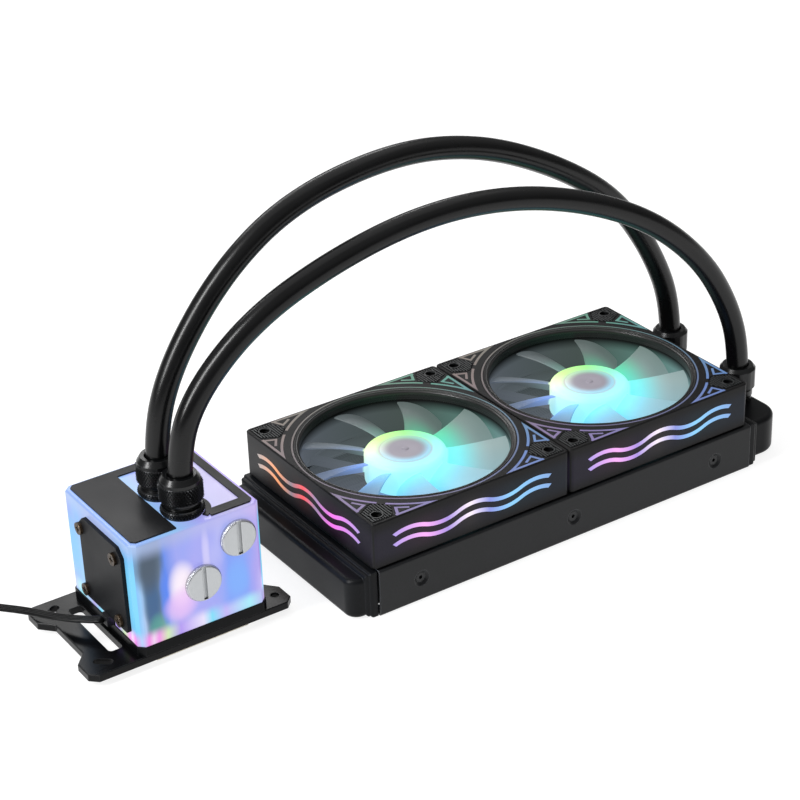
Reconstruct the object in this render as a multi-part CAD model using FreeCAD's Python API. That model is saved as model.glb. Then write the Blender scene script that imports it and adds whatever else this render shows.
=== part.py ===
"""Closed-loop liquid cooler: two-fan radiator, two hoses and a square pump head, lying fans up.

Millimetres. Origin on the desk, under the middle of the fan pair. +X runs along the radiator to its
ported end, +Y to the rear, +Z up.
"""
import FreeCAD
import Part
import math
import os

V = FreeCAD.Vector
X_AXIS = V(1, 0, 0)
Y_AXIS = V(0, 1, 0)
Z_AXIS = V(0, 0, 1)

# Fans: the usual 120 x 120 x 25 size, which sets the scale of everything else
FAN_SIZE = 120.0
FAN_DEPTH = 25.0
FAN_GAP = 0.6
FAN_HOLE_EDGE = 7.5
FAN_CORNER_R = 2.5
FAN_EDGE = 0.5
THROAT_WALL = 4.8
THROAT_LIP_W = 1.8
THROAT_LIP = 3.4
THROAT_FOOT_W = 1.4
THROAT_FOOT = 3.0
MOTOR_BASE_R = 20.5
MOTOR_BASE_T = 2.4
STRUT_W = 5.0
STRUT_T = 3.2
STRUT_COUNT = 4
STRUT_ANGLE = 30.0
POST_R = 4.8
POST_H = 13.0
SLEEVE_R = 3.4
SHAFT_R = 1.5
RUNNING_FIT = 0.03
SLIP = 0.1

# Fan rotor
HUB_R = 21.5
HUB_WALL = 1.5
HUB_TOP_T = 1.8
HUB_EDGE_R = 2.6
HUB_DROP = 5.0
HUB_LIFT = 4.4
BLADE_COUNT = 9
BLADE_TIP_GAP = 1.3
BLADE_T = 1.5
BLADE_CHORD_ROOT = 15.0
BLADE_CHORD_TIP = 29.0
BLADE_ANGLE_ROOT = 43.0
BLADE_ANGLE_TIP = 24.0
BLADE_CAMBER = 0.11
BLADE_SWEEP = 9.0
MAGNET_T = 1.3
STATOR_GAP = 0.6
STATOR_H = 7.0
POLE_COUNT = 4
BOARD_T = 1.2

# Light windows let into the fan frame
INLAY_T = 0.8
RING_GAP = 0.65
RING_W = 0.9
ARC_GAP = 3.95
ARC_W = 1.4
LINE_W = 1.5
LINE_EDGE = 1.0
ARC_END_DEG = 43.0
LINE_END = 15.0
HOOK = ((8.6, 18.4), (4.6, 24.8), (3.4, 24.1), (6.6, 19.2))
HOOK_FOOT = 17.3
WAVE_HALF = 19.4
WAVE_COUNT = 5
WAVE_RISE = 1.9
WAVE_W = 2.3
WAVE_SLANT = 2.6
WAVE_HEIGHTS = (8.9, 14.7)
LIGHT_CLEAR = 0.1

# Corner pads and fan screws
PAD_T = 1.8
PAD_INSET = 1.7
PAD_LEG = 13.3
PAD_SHOULDER = (18.0, 10.0)
PAD_NOSE = (16.9, 12.5)
PAD_PROUD = 1.0
LOWER_PAD_SINK = 1.0
SCREW_HEAD_R = 2.9
SCREW_HEAD_T = 2.6
SCREW_HEAD_DROP = 2.3
SCREW_R = 1.5
SCREW_REACH = 1.6
SCREW_PASS = 0.4
SOCKET_R = 1.45
SOCKET_DEPTH = 1.6

# Radiator
RAD_H = 26.0
RAIL_PROUD = 1.5
SHEET_T = 1.2
RAIL_FLANGE = 13.5
RAIL_BEND_R = 1.3
RAD_DX = 2.0
CASE_HOLE_R = 1.6
RAIL_SCREW_END = 24.8
RAIL_SCREW_Z = 12.7
RAIL_BOSS_R = 5.2
RAIL_BOSS_T = 2.6
DIMPLE_R = 4.4
DIMPLE_DEPTH = 1.2
RAIL_SCREW_R = 2.7
CORE_FOOT = 4.4
CORE_FIT = 0.2
TUBE_COUNT = 12
TUBE_T = 2.0
FIN_T = 0.35
FIN_FOLDS = 14
END_GAP = 0.8
CORE_CLEARANCE = 0.4
FLANGE_INSET = 1.0
FLANGE_MARGIN_Z = 0.4
FLANGE_T = 6.2
ROLL_T = 4.2
ROLL_STEP = 0.9
FLANGE_EDGE_R = 1.5
HEADER_INSET = 1.4
HEADER_MARGIN_Z = 2.0
LEFT_TANK_INSET = 3.0
RIGHT_TANK_INSET = 5.0
TANK_FOOT = 0.8
TANK_HEAD = 3.2
LEFT_TANK_L = 13.9
RIGHT_TANK_L = 27.9
LEFT_TANK_CORNER_R = 7.0
RIGHT_TANK_CORNER_R = 14.0
TANK_EDGE_R = 2.6
TANK_WALL = 1.8
BAFFLE_T = 1.4

# Hose fittings
HOSE_R = 6.0
COLLAR_BORE_R = 6.1
PORT_THREAD_R = 5.6
PUMP_PORT_DX = 1.1
PUMP_PORT_DY = (-20.2, 2.1)
PUMP_FOOT = ((9.9, 4.4), (8.3, 2.0))
PUMP_COLLAR = (9.9, 14.5, 1.7, 2.6)
RAD_PORT_INSET = 9.4
RAD_PORT_PITCH = 56.8
RAD_FOOT = ((8.2, 2.6), (6.9, 1.0), (8.6, 3.4), (7.5, 1.2))
RAD_COLLAR = (9.9, 13.0, 1.6, 2.0)
COLLAR_FACETS = 12

# Pump head, set square with the radiator
PUMP_GAP = 66.7
PUMP_Y = 3.3
BLOCK_SIZE = 70.0
BLOCK_CHAMFER = 3.0
BLOCK_EDGE = 0.8
COLD_T = 3.5
COLD_X = 57.0
COLD_Y = 63.0
COLD_CORNER_R = 4.0
COLD_STEP_X = 46.0
COLD_STEP_Y = 52.0
STEP_GAP = 0.3
BRACKET_T = 3.8
BRACKET_EDGE = 0.4
BRACKET_REACH = (61.8, 50.0)
WEB_REACH = (55.5, 44.2)
BRACKET_W = 72.4
BRACKET_DY = 0.7
EAR_L = 14.5
EAR_CHAMFER = 4.0
SLOT_REACH = 44.8
SLOT_W = 7.3
SLOT_SPAN = (21.1, 23.7)
SLOT_R = 2.0
BOLT_REACH = (51.0, 44.0)
BOLT_PITCH_Y = 54.0
BOLT_HOLE_R = 2.15
BOLT_SLOT_L = 9.4
BOLT_SLOT_DEG = 37.0
BASE_T = 5.1
BASE_LIP = 0.6
BLOCK_H = 56.1
WINDOW_WALL = 4.6
EYE_WALL = 6.5
CAVITY_CORNER_R = 4.0
CAVITY_FLOOR = 4.0
CAVITY_ROOF = 6.5
COLUMN_R = 7.6
CHANNEL_R = 4.2
PUMP_AXIS_DY = -3.1
PUMP_AXIS_RISE = 26.8
MOTOR_SIZE = 40.0
MOTOR_T = 12.6
MOTOR_CORNER_R = 4.0
CHAMBER_R = 15.0
CHAMBER_T = 8.0
EYE_R = 5.0
IMPELLER_R = 13.4
IMPELLER_T = 1.6
VANE_COUNT = 6
VANE_T = 1.4
VANE_H = 4.2
IMPELLER_SHAFT_L = 9.0
SEAL_T = 0.6
LIGHT_FRAME = (66.0, 57.0)
BASE_SEAL = (55.0, 51.0)
PLATE_T = 0.8
PLATE_INSET = 2.3
PLATE_RIM = 4.4
PLATE_PANEL_DX = -9.3
PLATE_TAB_DX = 9.7
PLATE_FRONT_RIM = 5.8
PLATE_HOOK = (10.6, 13.6)
SIDE_PLATE_T = 2.1
SIDE_PLATE_REACH_Y = (24.2, 18.5)
SIDE_PLATE_REACH_Z = (21.4, 24.4)
SIDE_PLATE_CUT = 4.4
SIDE_PLATE_R = 1.5
SIDE_SCREW_PITCH = 34.6
SIDE_SCREW_HEAD_R = 3.2
SIDE_SCREW_HEAD_T = 1.5
SIDE_SCREW_L = 8.0
PLUG_OFFSETS = ((21.1, 41.8), (0.6, 24.2))
PLUG_R = 9.3
PLUG_T = 2.8
PLUG_SLOT_W = 2.3
PLUG_SLOT_DEPTH = 1.5
PLUG_STUD_R = 5.6
PLUG_STUD_L = 3.6
COLD_SCREW_X = 51.0
COLD_SCREW_Y = 57.0

# Cable: a flat lead from the foot of the side plate, its unseen length coiled past the view
GLAND_DY = -2.8
GLAND_RISE = 2.8
GLAND_SIZE = (5.6, 7.4, 3.8)
GLAND_PROUD = 1.9
CABLE_R = 2.2
COIL_RING_R = 26.0
COIL_R = 4.6
COIL_PLACE = (-68.3, 119.6)
TIE_W = 7.0
TIE_T = 1.0
PLUG_BODY = (13.0, 10.5, 5.0)

# Places that follow from the sizes above
FAN_HOLE_PITCH = FAN_SIZE - 2 * FAN_HOLE_EDGE
THROAT_R = FAN_SIZE / 2 - THROAT_WALL
THROAT_TOP_R = THROAT_R + THROAT_LIP_W
THROAT_FOOT_R = THROAT_R + THROAT_FOOT_W
RING_INNER_R = THROAT_TOP_R + RING_GAP
ARC_R = RING_INNER_R + RING_W + ARC_GAP
RAD_W = FAN_SIZE + 2 * RAIL_PROUD
FLANGE_W = RAD_W - 2 * FLANGE_INSET
FAN_Z0 = RAD_H + PAD_PROUD
FAN_Z1 = FAN_Z0 + FAN_DEPTH
FAN_X = (FAN_SIZE + FAN_GAP) / 2
RAIL_HALF = FAN_X + FAN_SIZE / 2
HEADER_X = RAIL_HALF + END_GAP
LEFT_TANK_END = RAD_DX - HEADER_X - LEFT_TANK_L
RIGHT_TANK_END = RAD_DX + HEADER_X + RIGHT_TANK_L
TANK_Z0 = TANK_FOOT
TANK_Z1 = RAD_H - TANK_HEAD
CORE_Z0 = CORE_FOOT
CORE_Z1 = TANK_Z1 - TANK_WALL - CORE_FIT
RAIL_SCREW_X = [RAD_DX + side * (RAIL_HALF - RAIL_SCREW_END) for side in (-1, 0, 1)]
RAD_PORT_X = RIGHT_TANK_END - RAD_PORT_INSET
RAD_PORT_YS = (-RAD_PORT_PITCH / 2, RAD_PORT_PITCH / 2)
PUMP_X = LEFT_TANK_END - PUMP_GAP
BRACKET_Z = COLD_T
BASE_Z = BRACKET_Z + BRACKET_T
BLOCK_Z = BASE_Z + BASE_T
BLOCK_TOP = BLOCK_Z + BLOCK_H
HALF_BLOCK = BLOCK_SIZE / 2
BLOCK_LEFT = PUMP_X - HALF_BLOCK
BLOCK_FRONT = PUMP_Y - HALF_BLOCK
BRACKET_Y = PUMP_Y + BRACKET_DY
PUMP_PORT_X = PUMP_X + PUMP_PORT_DX
PUMP_PORT_YS = (PUMP_Y + PUMP_PORT_DY[0], PUMP_Y + PUMP_PORT_DY[1])
PUMP_AXIS_Y = PUMP_Y + PUMP_AXIS_DY
PUMP_AXIS_Z = BLOCK_Z + PUMP_AXIS_RISE
CAVITY_X0 = BLOCK_LEFT + MOTOR_T + SEAL_T + CHAMBER_T + EYE_WALL
PUMP_HOSE_Z = BLOCK_TOP + sum(step[1] for step in PUMP_FOOT)
RAD_HOSE_Z = TANK_Z1 + sum(step[1] for step in RAD_FOOT)
SIDE_PLATE_FOOT = PUMP_AXIS_Z - SIDE_PLATE_REACH_Z[0]
GLAND_FACE_X = BLOCK_LEFT - SIDE_PLATE_T - GLAND_PROUD
GLAND_Y = PUMP_AXIS_Y + GLAND_DY

# Routes of the hoses and of the cable, chosen by hand from the photographed curves
REAR_HOSE = [
    (PUMP_PORT_X, PUMP_PORT_YS[1], PUMP_HOSE_Z), (PUMP_PORT_X, PUMP_PORT_YS[1], 101), (-185, 6.5, 135),
    (-153, 8.5, 172), (-112, 11, 195.5), (-52, 15, 203), (0, 18.5, 193.5), (50, 22, 170), (96, 25.5, 138),
    (126, 27.5, 96), (RAD_PORT_X, RAD_PORT_YS[1], 58), (RAD_PORT_X, RAD_PORT_YS[1], RAD_HOSE_Z),
]
FRONT_HOSE = [
    (PUMP_PORT_X, PUMP_PORT_YS[0], PUMP_HOSE_Z), (PUMP_PORT_X, PUMP_PORT_YS[0], 101), (-186, -17.5, 129),
    (-154, -18.5, 157), (-110, -20, 174.5), (-62, -22, 184.5), (-14, -23.5, 182.5), (34, -25, 169),
    (79, -26.5, 146), (113, -28, 115), (133, -28.4, 82), (RAD_PORT_X, RAD_PORT_YS[0], 53),
    (RAD_PORT_X, RAD_PORT_YS[0], RAD_HOSE_Z),
]
LEAD_STEPS = [
    (-7.3, 7.1, 14.4), (-16.3, 20.6, 12.4), (-23.3, 35.6, 11.4), (-33.3, 51.6, 10), (-43.3, 68.6, 7),
    (-51.3, 88.6, 5), (-47.3, 106.6, 5), (-42.3, 119.6, 5.6),
]
CABLE_LEAD = [(GLAND_FACE_X, GLAND_Y, BLOCK_Z + GLAND_RISE)]
CABLE_LEAD += [(GLAND_FACE_X + dx, GLAND_Y + dy, z) for dx, dy, z in LEAD_STEPS]
COIL_CENTRE = (GLAND_FACE_X + COIL_PLACE[0], GLAND_Y + COIL_PLACE[1])
TAIL_STEPS = [(-1, 26, 6), (-15, 26.5, 5), (-28, 20.5, 3.6), (-35.5, 9, 2.5), (-37.5, -4.5, 2.5)]
CABLE_TAIL = [(COIL_CENTRE[0] + dx, COIL_CENTRE[1] + dy, z) for dx, dy, z in TAIL_STEPS]


def box(x0, x1, y0, y1, z0, z1):
    return Part.makeBox(x1 - x0, y1 - y0, z1 - z0, V(x0, y0, z0))


def rod(x, y, z0, z1, radius):
    return Part.makeCylinder(radius, z1 - z0, V(x, y, z0))


def rod_x(x0, x1, y, z, radius):
    return Part.makeCylinder(radius, x1 - x0, V(x0, y, z), X_AXIS)


def rod_y(x, y0, y1, z, radius):
    return Part.makeCylinder(radius, y1 - y0, V(x, y0, z), Y_AXIS)


def fuse(shapes):
    whole = shapes[0]
    for shape in shapes[1:]:
        whole = whole.fuse(shape)
    return whole.removeSplitter()


def cut(shape, tools):
    return shape.cut(Part.makeCompound(tools))


def edges_along(shape, axis, test):
    """Straight edges parallel to axis whose middle passes the test."""
    found = []
    for edge in shape.Edges:
        if len(edge.Vertexes) != 2:
            continue
        way = edge.Vertexes[1].Point.sub(edge.Vertexes[0].Point)
        if abs(abs(way.dot(axis)) - way.Length) < 1e-6 and test(edge.CenterOfMass):
            found.append(edge)
    return found


def always(point):
    return True


def rim(shape, z):
    """Every edge that lies at the level z."""
    return [edge for edge in shape.Edges if all(abs(end.Z - z) < 0.01 for end in edge.Vertexes)]


def rounded_box(x0, x1, y0, y1, z0, z1, radius):
    block = box(x0, x1, y0, y1, z0, z1)
    return block.makeFillet(radius, edges_along(block, Z_AXIS, always))


def chamfered_box(x0, x1, y0, y1, z0, z1, size):
    block = box(x0, x1, y0, y1, z0, z1)
    return block.makeChamfer(size, edges_along(block, Z_AXIS, always))


def prism(points, z0, z1):
    corners = [V(x, y, z0) for x, y in points]
    return Part.Face(Part.makePolygon(corners + corners[:1])).extrude(V(0, 0, z1 - z0))


def turned(profile, x, y):
    """Solid of revolution about a vertical axis from (radius, height) points."""
    corners = [V(x + r, y, z) for r, z in profile]
    face = Part.Face(Part.makePolygon(corners + corners[:1]))
    return face.revolve(V(x, y, 0), Z_AXIS, 360)


def hexagon(x, y, z0, z1, radius):
    points = [(x + radius * math.cos(math.radians(60 * i)), y + radius * math.sin(math.radians(60 * i)))
              for i in range(6)]
    return prism(points, z0, z1)


def spun(shape, x, y, count):
    """Copies of a shape set evenly round a vertical axis."""
    copies = []
    for i in range(count):
        copy = shape.copy()
        copy.rotate(V(x, y, 0), Z_AXIS, 360.0 * i / count)
        copies.append(copy)
    return copies


def save(name, shape):
    shape.exportStep("parts/" + name + ".step")
    sizes.append((name, shape))


def fan_screw_places(fan_x):
    half = FAN_HOLE_PITCH / 2
    return [(fan_x + sx * half, sy * half) for sx in (-1, 1) for sy in (-1, 1)]


# Radiator


def side_rail(side):
    """C-shaped side rail: outer web, top and bottom flanges with the fan and case holes."""
    outer = side * RAD_W / 2
    web = outer - side * SHEET_T
    inner = outer - side * RAIL_FLANGE
    low, high = sorted((outer, inner))
    rail = box(RAD_DX - RAIL_HALF, RAD_DX + RAIL_HALF, low, high, 0, RAD_H)
    rail = rail.makeFillet(RAIL_BEND_R, edges_along(rail, X_AXIS, lambda p: abs(p.y - outer) < 0.01))
    low, high = sorted((web, inner - side))
    x0, x1 = RAD_DX - RAIL_HALF - 1, RAD_DX + RAIL_HALF + 1
    hollow = box(x0, x1, low, high, SHEET_T, RAD_H - SHEET_T)
    rail = rail.cut(hollow)
    low, high = sorted((web - side * RAIL_BOSS_T, web + side * SHEET_T / 2))
    rail = fuse([rail] + [rod_y(x, low, high, RAIL_SCREW_Z, RAIL_BOSS_R) for x in RAIL_SCREW_X])
    tools = []
    for x in RAIL_SCREW_X:
        dimple = Part.makeCone(DIMPLE_R, RAIL_SCREW_R, DIMPLE_DEPTH, V(x, outer, RAIL_SCREW_Z),
                               V(0, -side, 0))
        tools.append(dimple)
        low, high = sorted((outer, web - side * (RAIL_BOSS_T + 1)))
        tools.append(rod_y(x, low, high, RAIL_SCREW_Z, RAIL_SCREW_R))
    for fan_x in (-FAN_X, FAN_X):
        for x, y in fan_screw_places(fan_x):
            if y * side > 0:
                tools.append(rod(x, y, RAD_H - SHEET_T - 1, RAD_H + 1, SCREW_R + SCREW_PASS))
                tools.append(rod(x, y, -1, SHEET_T + 1, CASE_HOLE_R))
    return cut(rail, tools)


def rail_screws():
    """Socket screws sunk in the dimples of both rails."""
    screws = []
    for side in (-1, 1):
        outer = side * RAD_W / 2
        head = outer - side * DIMPLE_DEPTH
        tip = outer - side * (SHEET_T + RAIL_BOSS_T)
        low, high = sorted((head, tip))
        for x in RAIL_SCREW_X:
            screw = rod_y(x, low, high, RAIL_SCREW_Z, RAIL_SCREW_R)
            socket = hexagon(0, 0, 0, 1.2, 1.1)
            socket.rotate(V(0, 0, 0), X_AXIS, 90 * side)
            socket.translate(V(x, head, RAIL_SCREW_Z))
            screws.append(screw.cut(socket))
    return Part.makeCompound(screws)


def core_half():
    """Half width of the core, which clears the screw bosses inside both rails."""
    return RAD_W / 2 - SHEET_T - RAIL_BOSS_T - CORE_CLEARANCE


def core_row():
    """Width of one row of fins between two tubes."""
    return (2 * core_half() - TUBE_COUNT * TUBE_T) / (TUBE_COUNT + 1)


def tube_places():
    row = core_row()
    return [-core_half() + row + i * (row + TUBE_T) for i in range(TUBE_COUNT)]


def core_tubes():
    tubes = []
    reach = HEADER_X + SHEET_T + 0.8
    for y in tube_places():
        tubes.append(box(RAD_DX - reach, RAD_DX + reach, y, y + TUBE_T, CORE_Z0, CORE_Z1))
    return Part.makeCompound(tubes)


def cooling_fins():
    """Folded strips, one in each row, mirrored about the middle, so that case screws miss the folds."""
    row = core_row()
    reach = HEADER_X - END_GAP
    pitch = 2 * reach / FIN_FOLDS
    rise = FIN_T / 2 * math.hypot(row, pitch / 2) / (pitch / 2)
    strips = []
    for y in [place - row for place in tube_places()] + [tube_places()[-1] + TUBE_T]:
        low, high = y + rise, y + row - rise
        inner, outer = (low, high) if y > -row * 0.6 else (high, low)
        middle = []
        for i in range(2 * FIN_FOLDS + 1):
            middle.append((RAD_DX - reach + i * pitch / 2, inner if i % 2 == 0 else outer))
        front = [(x, fold - rise) for x, fold in middle]
        back = [(x, fold + rise) for x, fold in reversed(middle)]
        strips.append(prism(front + back, CORE_Z0, CORE_Z1))
    return Part.makeCompound(strips)


def header_plate(side):
    start = RAD_DX + side * HEADER_X
    x0, x1 = sorted((start, start + side * SHEET_T))
    half = FLANGE_W / 2 - HEADER_INSET
    plate = box(x0, x1, -half, half, HEADER_MARGIN_Z, RAD_H - HEADER_MARGIN_Z)
    return cut(plate, [core_tubes()])


def flange_roll(start, end, inset):
    """One rolled step of the crimped flange, rounded along its outboard rim."""
    x0, x1 = sorted((start, end))
    half = FLANGE_W / 2 - inset
    roll = box(x0, x1, -half, half, FLANGE_MARGIN_Z + inset, RAD_H - FLANGE_MARGIN_Z - inset)
    outboard = [edge for edge in roll.Edges if abs(edge.CenterOfMass.x - end) < 0.01]
    return roll.makeFillet(FLANGE_EDGE_R, outboard)


def end_tank(side, end, inset, corner_r):
    """Tank with a two-step crimped flange round its header plate, open towards the core."""
    start = RAD_DX + side * HEADER_X
    half = RAD_W / 2 - inset
    crimp = flange_roll(start, start + side * ROLL_T, 0)
    neck = flange_roll(start, start + side * FLANGE_T, ROLL_STEP)
    x0, x1 = sorted((start, end))
    body = box(x0, x1, -half, half, TANK_Z0, TANK_Z1)
    body = body.makeFillet(corner_r, edges_along(body, Z_AXIS, lambda p: abs(p.x - end) < 0.01))
    level = rim(body, TANK_Z0) + rim(body, TANK_Z1)
    body = body.makeFillet(TANK_EDGE_R, [edge for edge in level if abs(edge.CenterOfMass.x - start) > 0.01])
    tank = fuse([crimp, neck, body])
    plate_end = start + side * SHEET_T
    wall = TANK_WALL
    x0, x1 = sorted((plate_end, end - side * wall))
    hollow = box(x0, x1, wall - half, half - wall, TANK_Z0 + wall, TANK_Z1 - wall)
    corners = edges_along(hollow, Z_AXIS, lambda p: abs(p.x - end + side * wall) < 0.01)
    hollow = hollow.makeFillet(corner_r - wall, corners)
    x0, x1 = sorted((start - side, plate_end))
    half = FLANGE_W / 2 - HEADER_INSET
    seat = box(x0, x1, -half, half, HEADER_MARGIN_Z, RAD_H - HEADER_MARGIN_Z)
    return cut(tank, [hollow, seat])


def right_tank():
    tank = end_tank(1, RIGHT_TANK_END, RIGHT_TANK_INSET, RIGHT_TANK_CORNER_R)
    ports = [rod(RAD_PORT_X, y, TANK_Z1 - TANK_WALL - 1, TANK_Z1 + 1, PORT_THREAD_R) for y in RAD_PORT_YS]
    return cut(tank, ports)


def tank_baffle():
    """Wall across the ported tank, between the inlet half and the outlet half."""
    wall = TANK_WALL
    x0 = RAD_DX + HEADER_X + SHEET_T + 1.0
    x1 = RIGHT_TANK_END - wall
    return box(x0, x1, -BAFFLE_T / 2, BAFFLE_T / 2, TANK_Z0 + wall, TANK_Z1 - wall)


# Fans


def throat(fan_x):
    """Air passage through the frame, with a rounded inlet lip and a flared foot."""
    top = FAN_Z1
    lip = top - THROAT_LIP
    foot = FAN_Z0 + THROAT_FOOT
    corners = [
        V(0, 0, FAN_Z0 - 1), V(THROAT_FOOT_R, 0, FAN_Z0 - 1), V(THROAT_FOOT_R, 0, FAN_Z0),
        V(THROAT_R, 0, foot), V(THROAT_R, 0, lip),
    ]
    lines = [Part.LineSegment(a, b).toShape() for a, b in zip(corners, corners[1:])]
    middle = V(THROAT_R + (THROAT_TOP_R - THROAT_R) * 0.3, 0, top - THROAT_LIP * 0.3)
    lines.append(Part.Arc(corners[-1], middle, V(THROAT_TOP_R, 0, top)).toShape())
    rest = [V(THROAT_TOP_R, 0, top), V(THROAT_TOP_R, 0, top + 1), V(0, 0, top + 1), corners[0]]
    lines += [Part.LineSegment(a, b).toShape() for a, b in zip(rest, rest[1:])]
    passage = Part.Face(Part.Wire(lines)).revolve(V(0, 0, 0), Z_AXIS, 360)
    passage.translate(V(fan_x, 0, 0))
    return passage


def pad_outline(fan_x):
    """Seven-sided pad outline in the corner at +X +Y of a fan."""
    reach = FAN_SIZE / 2
    far = [(PAD_INSET, PAD_INSET), (PAD_LEG, PAD_INSET), PAD_SHOULDER, PAD_NOSE]
    near = [(b, a) for a, b in reversed(far[1:])]
    return [(fan_x + reach - a, reach - b) for a, b in far + near]


def pads(fan_x, z0, z1, hole_r):
    pad = prism(pad_outline(fan_x), z0, z1)
    half = FAN_HOLE_PITCH / 2
    pad = pad.cut(rod(fan_x + half, half, z0 - 1, z1 + 1, hole_r))
    return Part.makeCompound(spun(pad, fan_x, 0, 4))


def pad_blanks(fan_x, z0, z1):
    return spun(prism(pad_outline(fan_x), z0, z1), fan_x, 0, 4)


def hooked_line(fan_x, z0, z1):
    """One light line: an arc beside the throat, a limb along the edge and a hook beside the pad."""
    reach = FAN_SIZE / 2
    outer = reach - LINE_EDGE
    inner = outer - LINE_W
    far = 2 * reach
    arc = rod(0, 0, z0, z1, ARC_R + ARC_W).cut(rod(0, 0, z0, z1, ARC_R))
    end = math.radians(ARC_END_DEG)
    arc = arc.common(prism([(0, 0), (outer, 0), (outer, far), (far * math.cos(end), far * math.sin(end))], z0, z1))
    limb = box(inner, outer, 0, reach - LINE_END, z0, z1).cut(rod(0, 0, z0, z1, ARC_R))
    hook = prism([(outer, reach - LINE_END)] + [(reach - a, reach - b) for a, b in HOOK]
                 + [(inner, reach - HOOK_FOOT)], z0, z1)
    clear = prism([(x - LIGHT_CLEAR, y - LIGHT_CLEAR) for x, y in pad_outline(0)], z0 - 1, z1 + 1)
    line = fuse([arc.Solids[0], limb, hook]).cut(clear)
    line.translate(V(fan_x, 0, 0))
    return line


def top_lights(fan_x):
    """Thin ring round the throat and eight hooked lines, two at each corner."""
    z0, z1 = FAN_Z1 - INLAY_T, FAN_Z1
    line = hooked_line(fan_x, z0, z1)
    twin = line.mirror(V(fan_x, 0, 0), V(1, -1, 0))
    ring = rod(fan_x, 0, z0, z1, RING_INNER_R + RING_W).cut(rod(fan_x, 0, z0, z1, RING_INNER_R))
    return Part.makeCompound(spun(line, fan_x, 0, 4) + spun(twin, fan_x, 0, 4) + [ring])


def wave(depth):
    """Wavy strip of even width that stands in the XZ plane, centred on the origin, depth along +Y."""
    half = WAVE_HALF / 2
    radius = (half * half + WAVE_RISE * WAVE_RISE) / (2 * WAVE_RISE)
    drop = radius - WAVE_RISE
    lean = math.asin(half / radius)
    chains = {1: [], -1: []}
    for i in range(WAVE_COUNT):
        x = (i - (WAVE_COUNT - 1) / 2) * WAVE_HALF
        up = 1 if i % 2 == 0 else -1
        for edge in (1, -1):
            reach = radius + edge * up * WAVE_W / 2
            centre = -up * drop
            span, level = reach * math.sin(lean), centre + up * reach * math.cos(lean)
            ends = [V(x - span, 0, level), V(x + span, 0, level)]
            chains[edge].append(Part.Arc(ends[0], V(x, 0, centre + up * reach), ends[1]))
    lines = [arc.toShape() for arc in chains[1] + chains[-1]]
    for which in (0, -1):
        spots = [chains[edge][which].value(chains[edge][which].FirstParameter if which == 0
                                           else chains[edge][which].LastParameter) for edge in (1, -1)]
        lines.append(Part.LineSegment(spots[0], spots[1]).toShape())
    outline = Part.Wire(Part.__sortEdges__(lines))
    strip = Part.Face(outline).extrude(V(0, depth, 0))
    return cut(strip, [wave_end(side, depth) for side in (-1, 1)])


def wave_end(side, depth):
    """Waste beyond the slanted cut that ends a wavy strip, wider at its upper edge."""
    tip = WAVE_COUNT * WAVE_HALF / 2
    far = tip + 4 * WAVE_SLANT
    high = WAVE_W * 1.5
    outline = [(tip + WAVE_SLANT, high), (far, high), (far, -high), (tip - 2 * WAVE_SLANT, -high)]
    corners = [V(side * x, -1, z) for x, z in outline]
    return Part.Face(Part.makePolygon(corners + corners[:1])).extrude(V(0, depth + 2, 0))


def side_lights(fan_x):
    """Two wavy strips in the front face and two in the left face."""
    strips = []
    for height in WAVE_HEIGHTS:
        strip = wave(INLAY_T)
        strip.translate(V(fan_x, -FAN_SIZE / 2, FAN_Z0 + height))
        strips.append(strip)
        strip = strip.copy()
        strip.rotate(V(fan_x, 0, 0), Z_AXIS, -90)
        strips.append(strip)
    return Part.makeCompound(strips)


def fan_frame(fan_x):
    half = FAN_SIZE / 2
    frame = rounded_box(fan_x - half, fan_x + half, -half, half, FAN_Z0, FAN_Z1, FAN_CORNER_R)
    frame = frame.makeChamfer(FAN_EDGE, rim(frame, FAN_Z1))
    frame = frame.cut(throat(fan_x))
    base_top = FAN_Z0 + MOTOR_BASE_T
    arms = [rod(fan_x, 0, FAN_Z0, base_top, MOTOR_BASE_R), rod(fan_x, 0, FAN_Z0, base_top + POST_H, POST_R)]
    arm = box(fan_x, fan_x + THROAT_FOOT_R + 1, -STRUT_W / 2, STRUT_W / 2, FAN_Z0, FAN_Z0 + STRUT_T)
    arm = arm.cut(rod(fan_x, 0, FAN_Z0 - 1, FAN_Z1, MOTOR_BASE_R - 1))
    arm.rotate(V(fan_x, 0, 0), Z_AXIS, STRUT_ANGLE)
    frame = fuse([frame] + arms + spun(arm, fan_x, 0, STRUT_COUNT))
    tools = [rod(fan_x, 0, FAN_Z0 + 1, FAN_Z1, SLEEVE_R)]
    head_floor = FAN_Z1 - PAD_T - SCREW_HEAD_DROP - SCREW_HEAD_T
    for x, y in fan_screw_places(fan_x):
        tools.append(rod(x, y, FAN_Z0 - 1, FAN_Z1, SCREW_R + SCREW_PASS))
        tools.append(rod(x, y, head_floor, FAN_Z1, SCREW_HEAD_R + 0.3))
    tools += pad_blanks(fan_x, FAN_Z1 - PAD_T, FAN_Z1)
    tools += pad_blanks(fan_x, FAN_Z0, FAN_Z0 + LOWER_PAD_SINK)
    tools += top_lights(fan_x).Solids + side_lights(fan_x).Solids
    return cut(frame, tools)


def fan_screws(fan_x):
    """Long socket screws sunk in the corners, through the lower pads into the rail flanges."""
    head_top = FAN_Z1 - PAD_T - SCREW_HEAD_DROP
    head_floor = head_top - SCREW_HEAD_T
    screws = []
    for x, y in fan_screw_places(fan_x):
        shank = rod(x, y, RAD_H - SCREW_REACH, head_floor, SCREW_R)
        head = rod(x, y, head_floor, head_top, SCREW_HEAD_R)
        socket = hexagon(x, y, head_top - SOCKET_DEPTH, head_top + 1, SOCKET_R)
        screws.append(fuse([shank, head]).cut(socket))
    return Part.makeCompound(screws)


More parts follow.
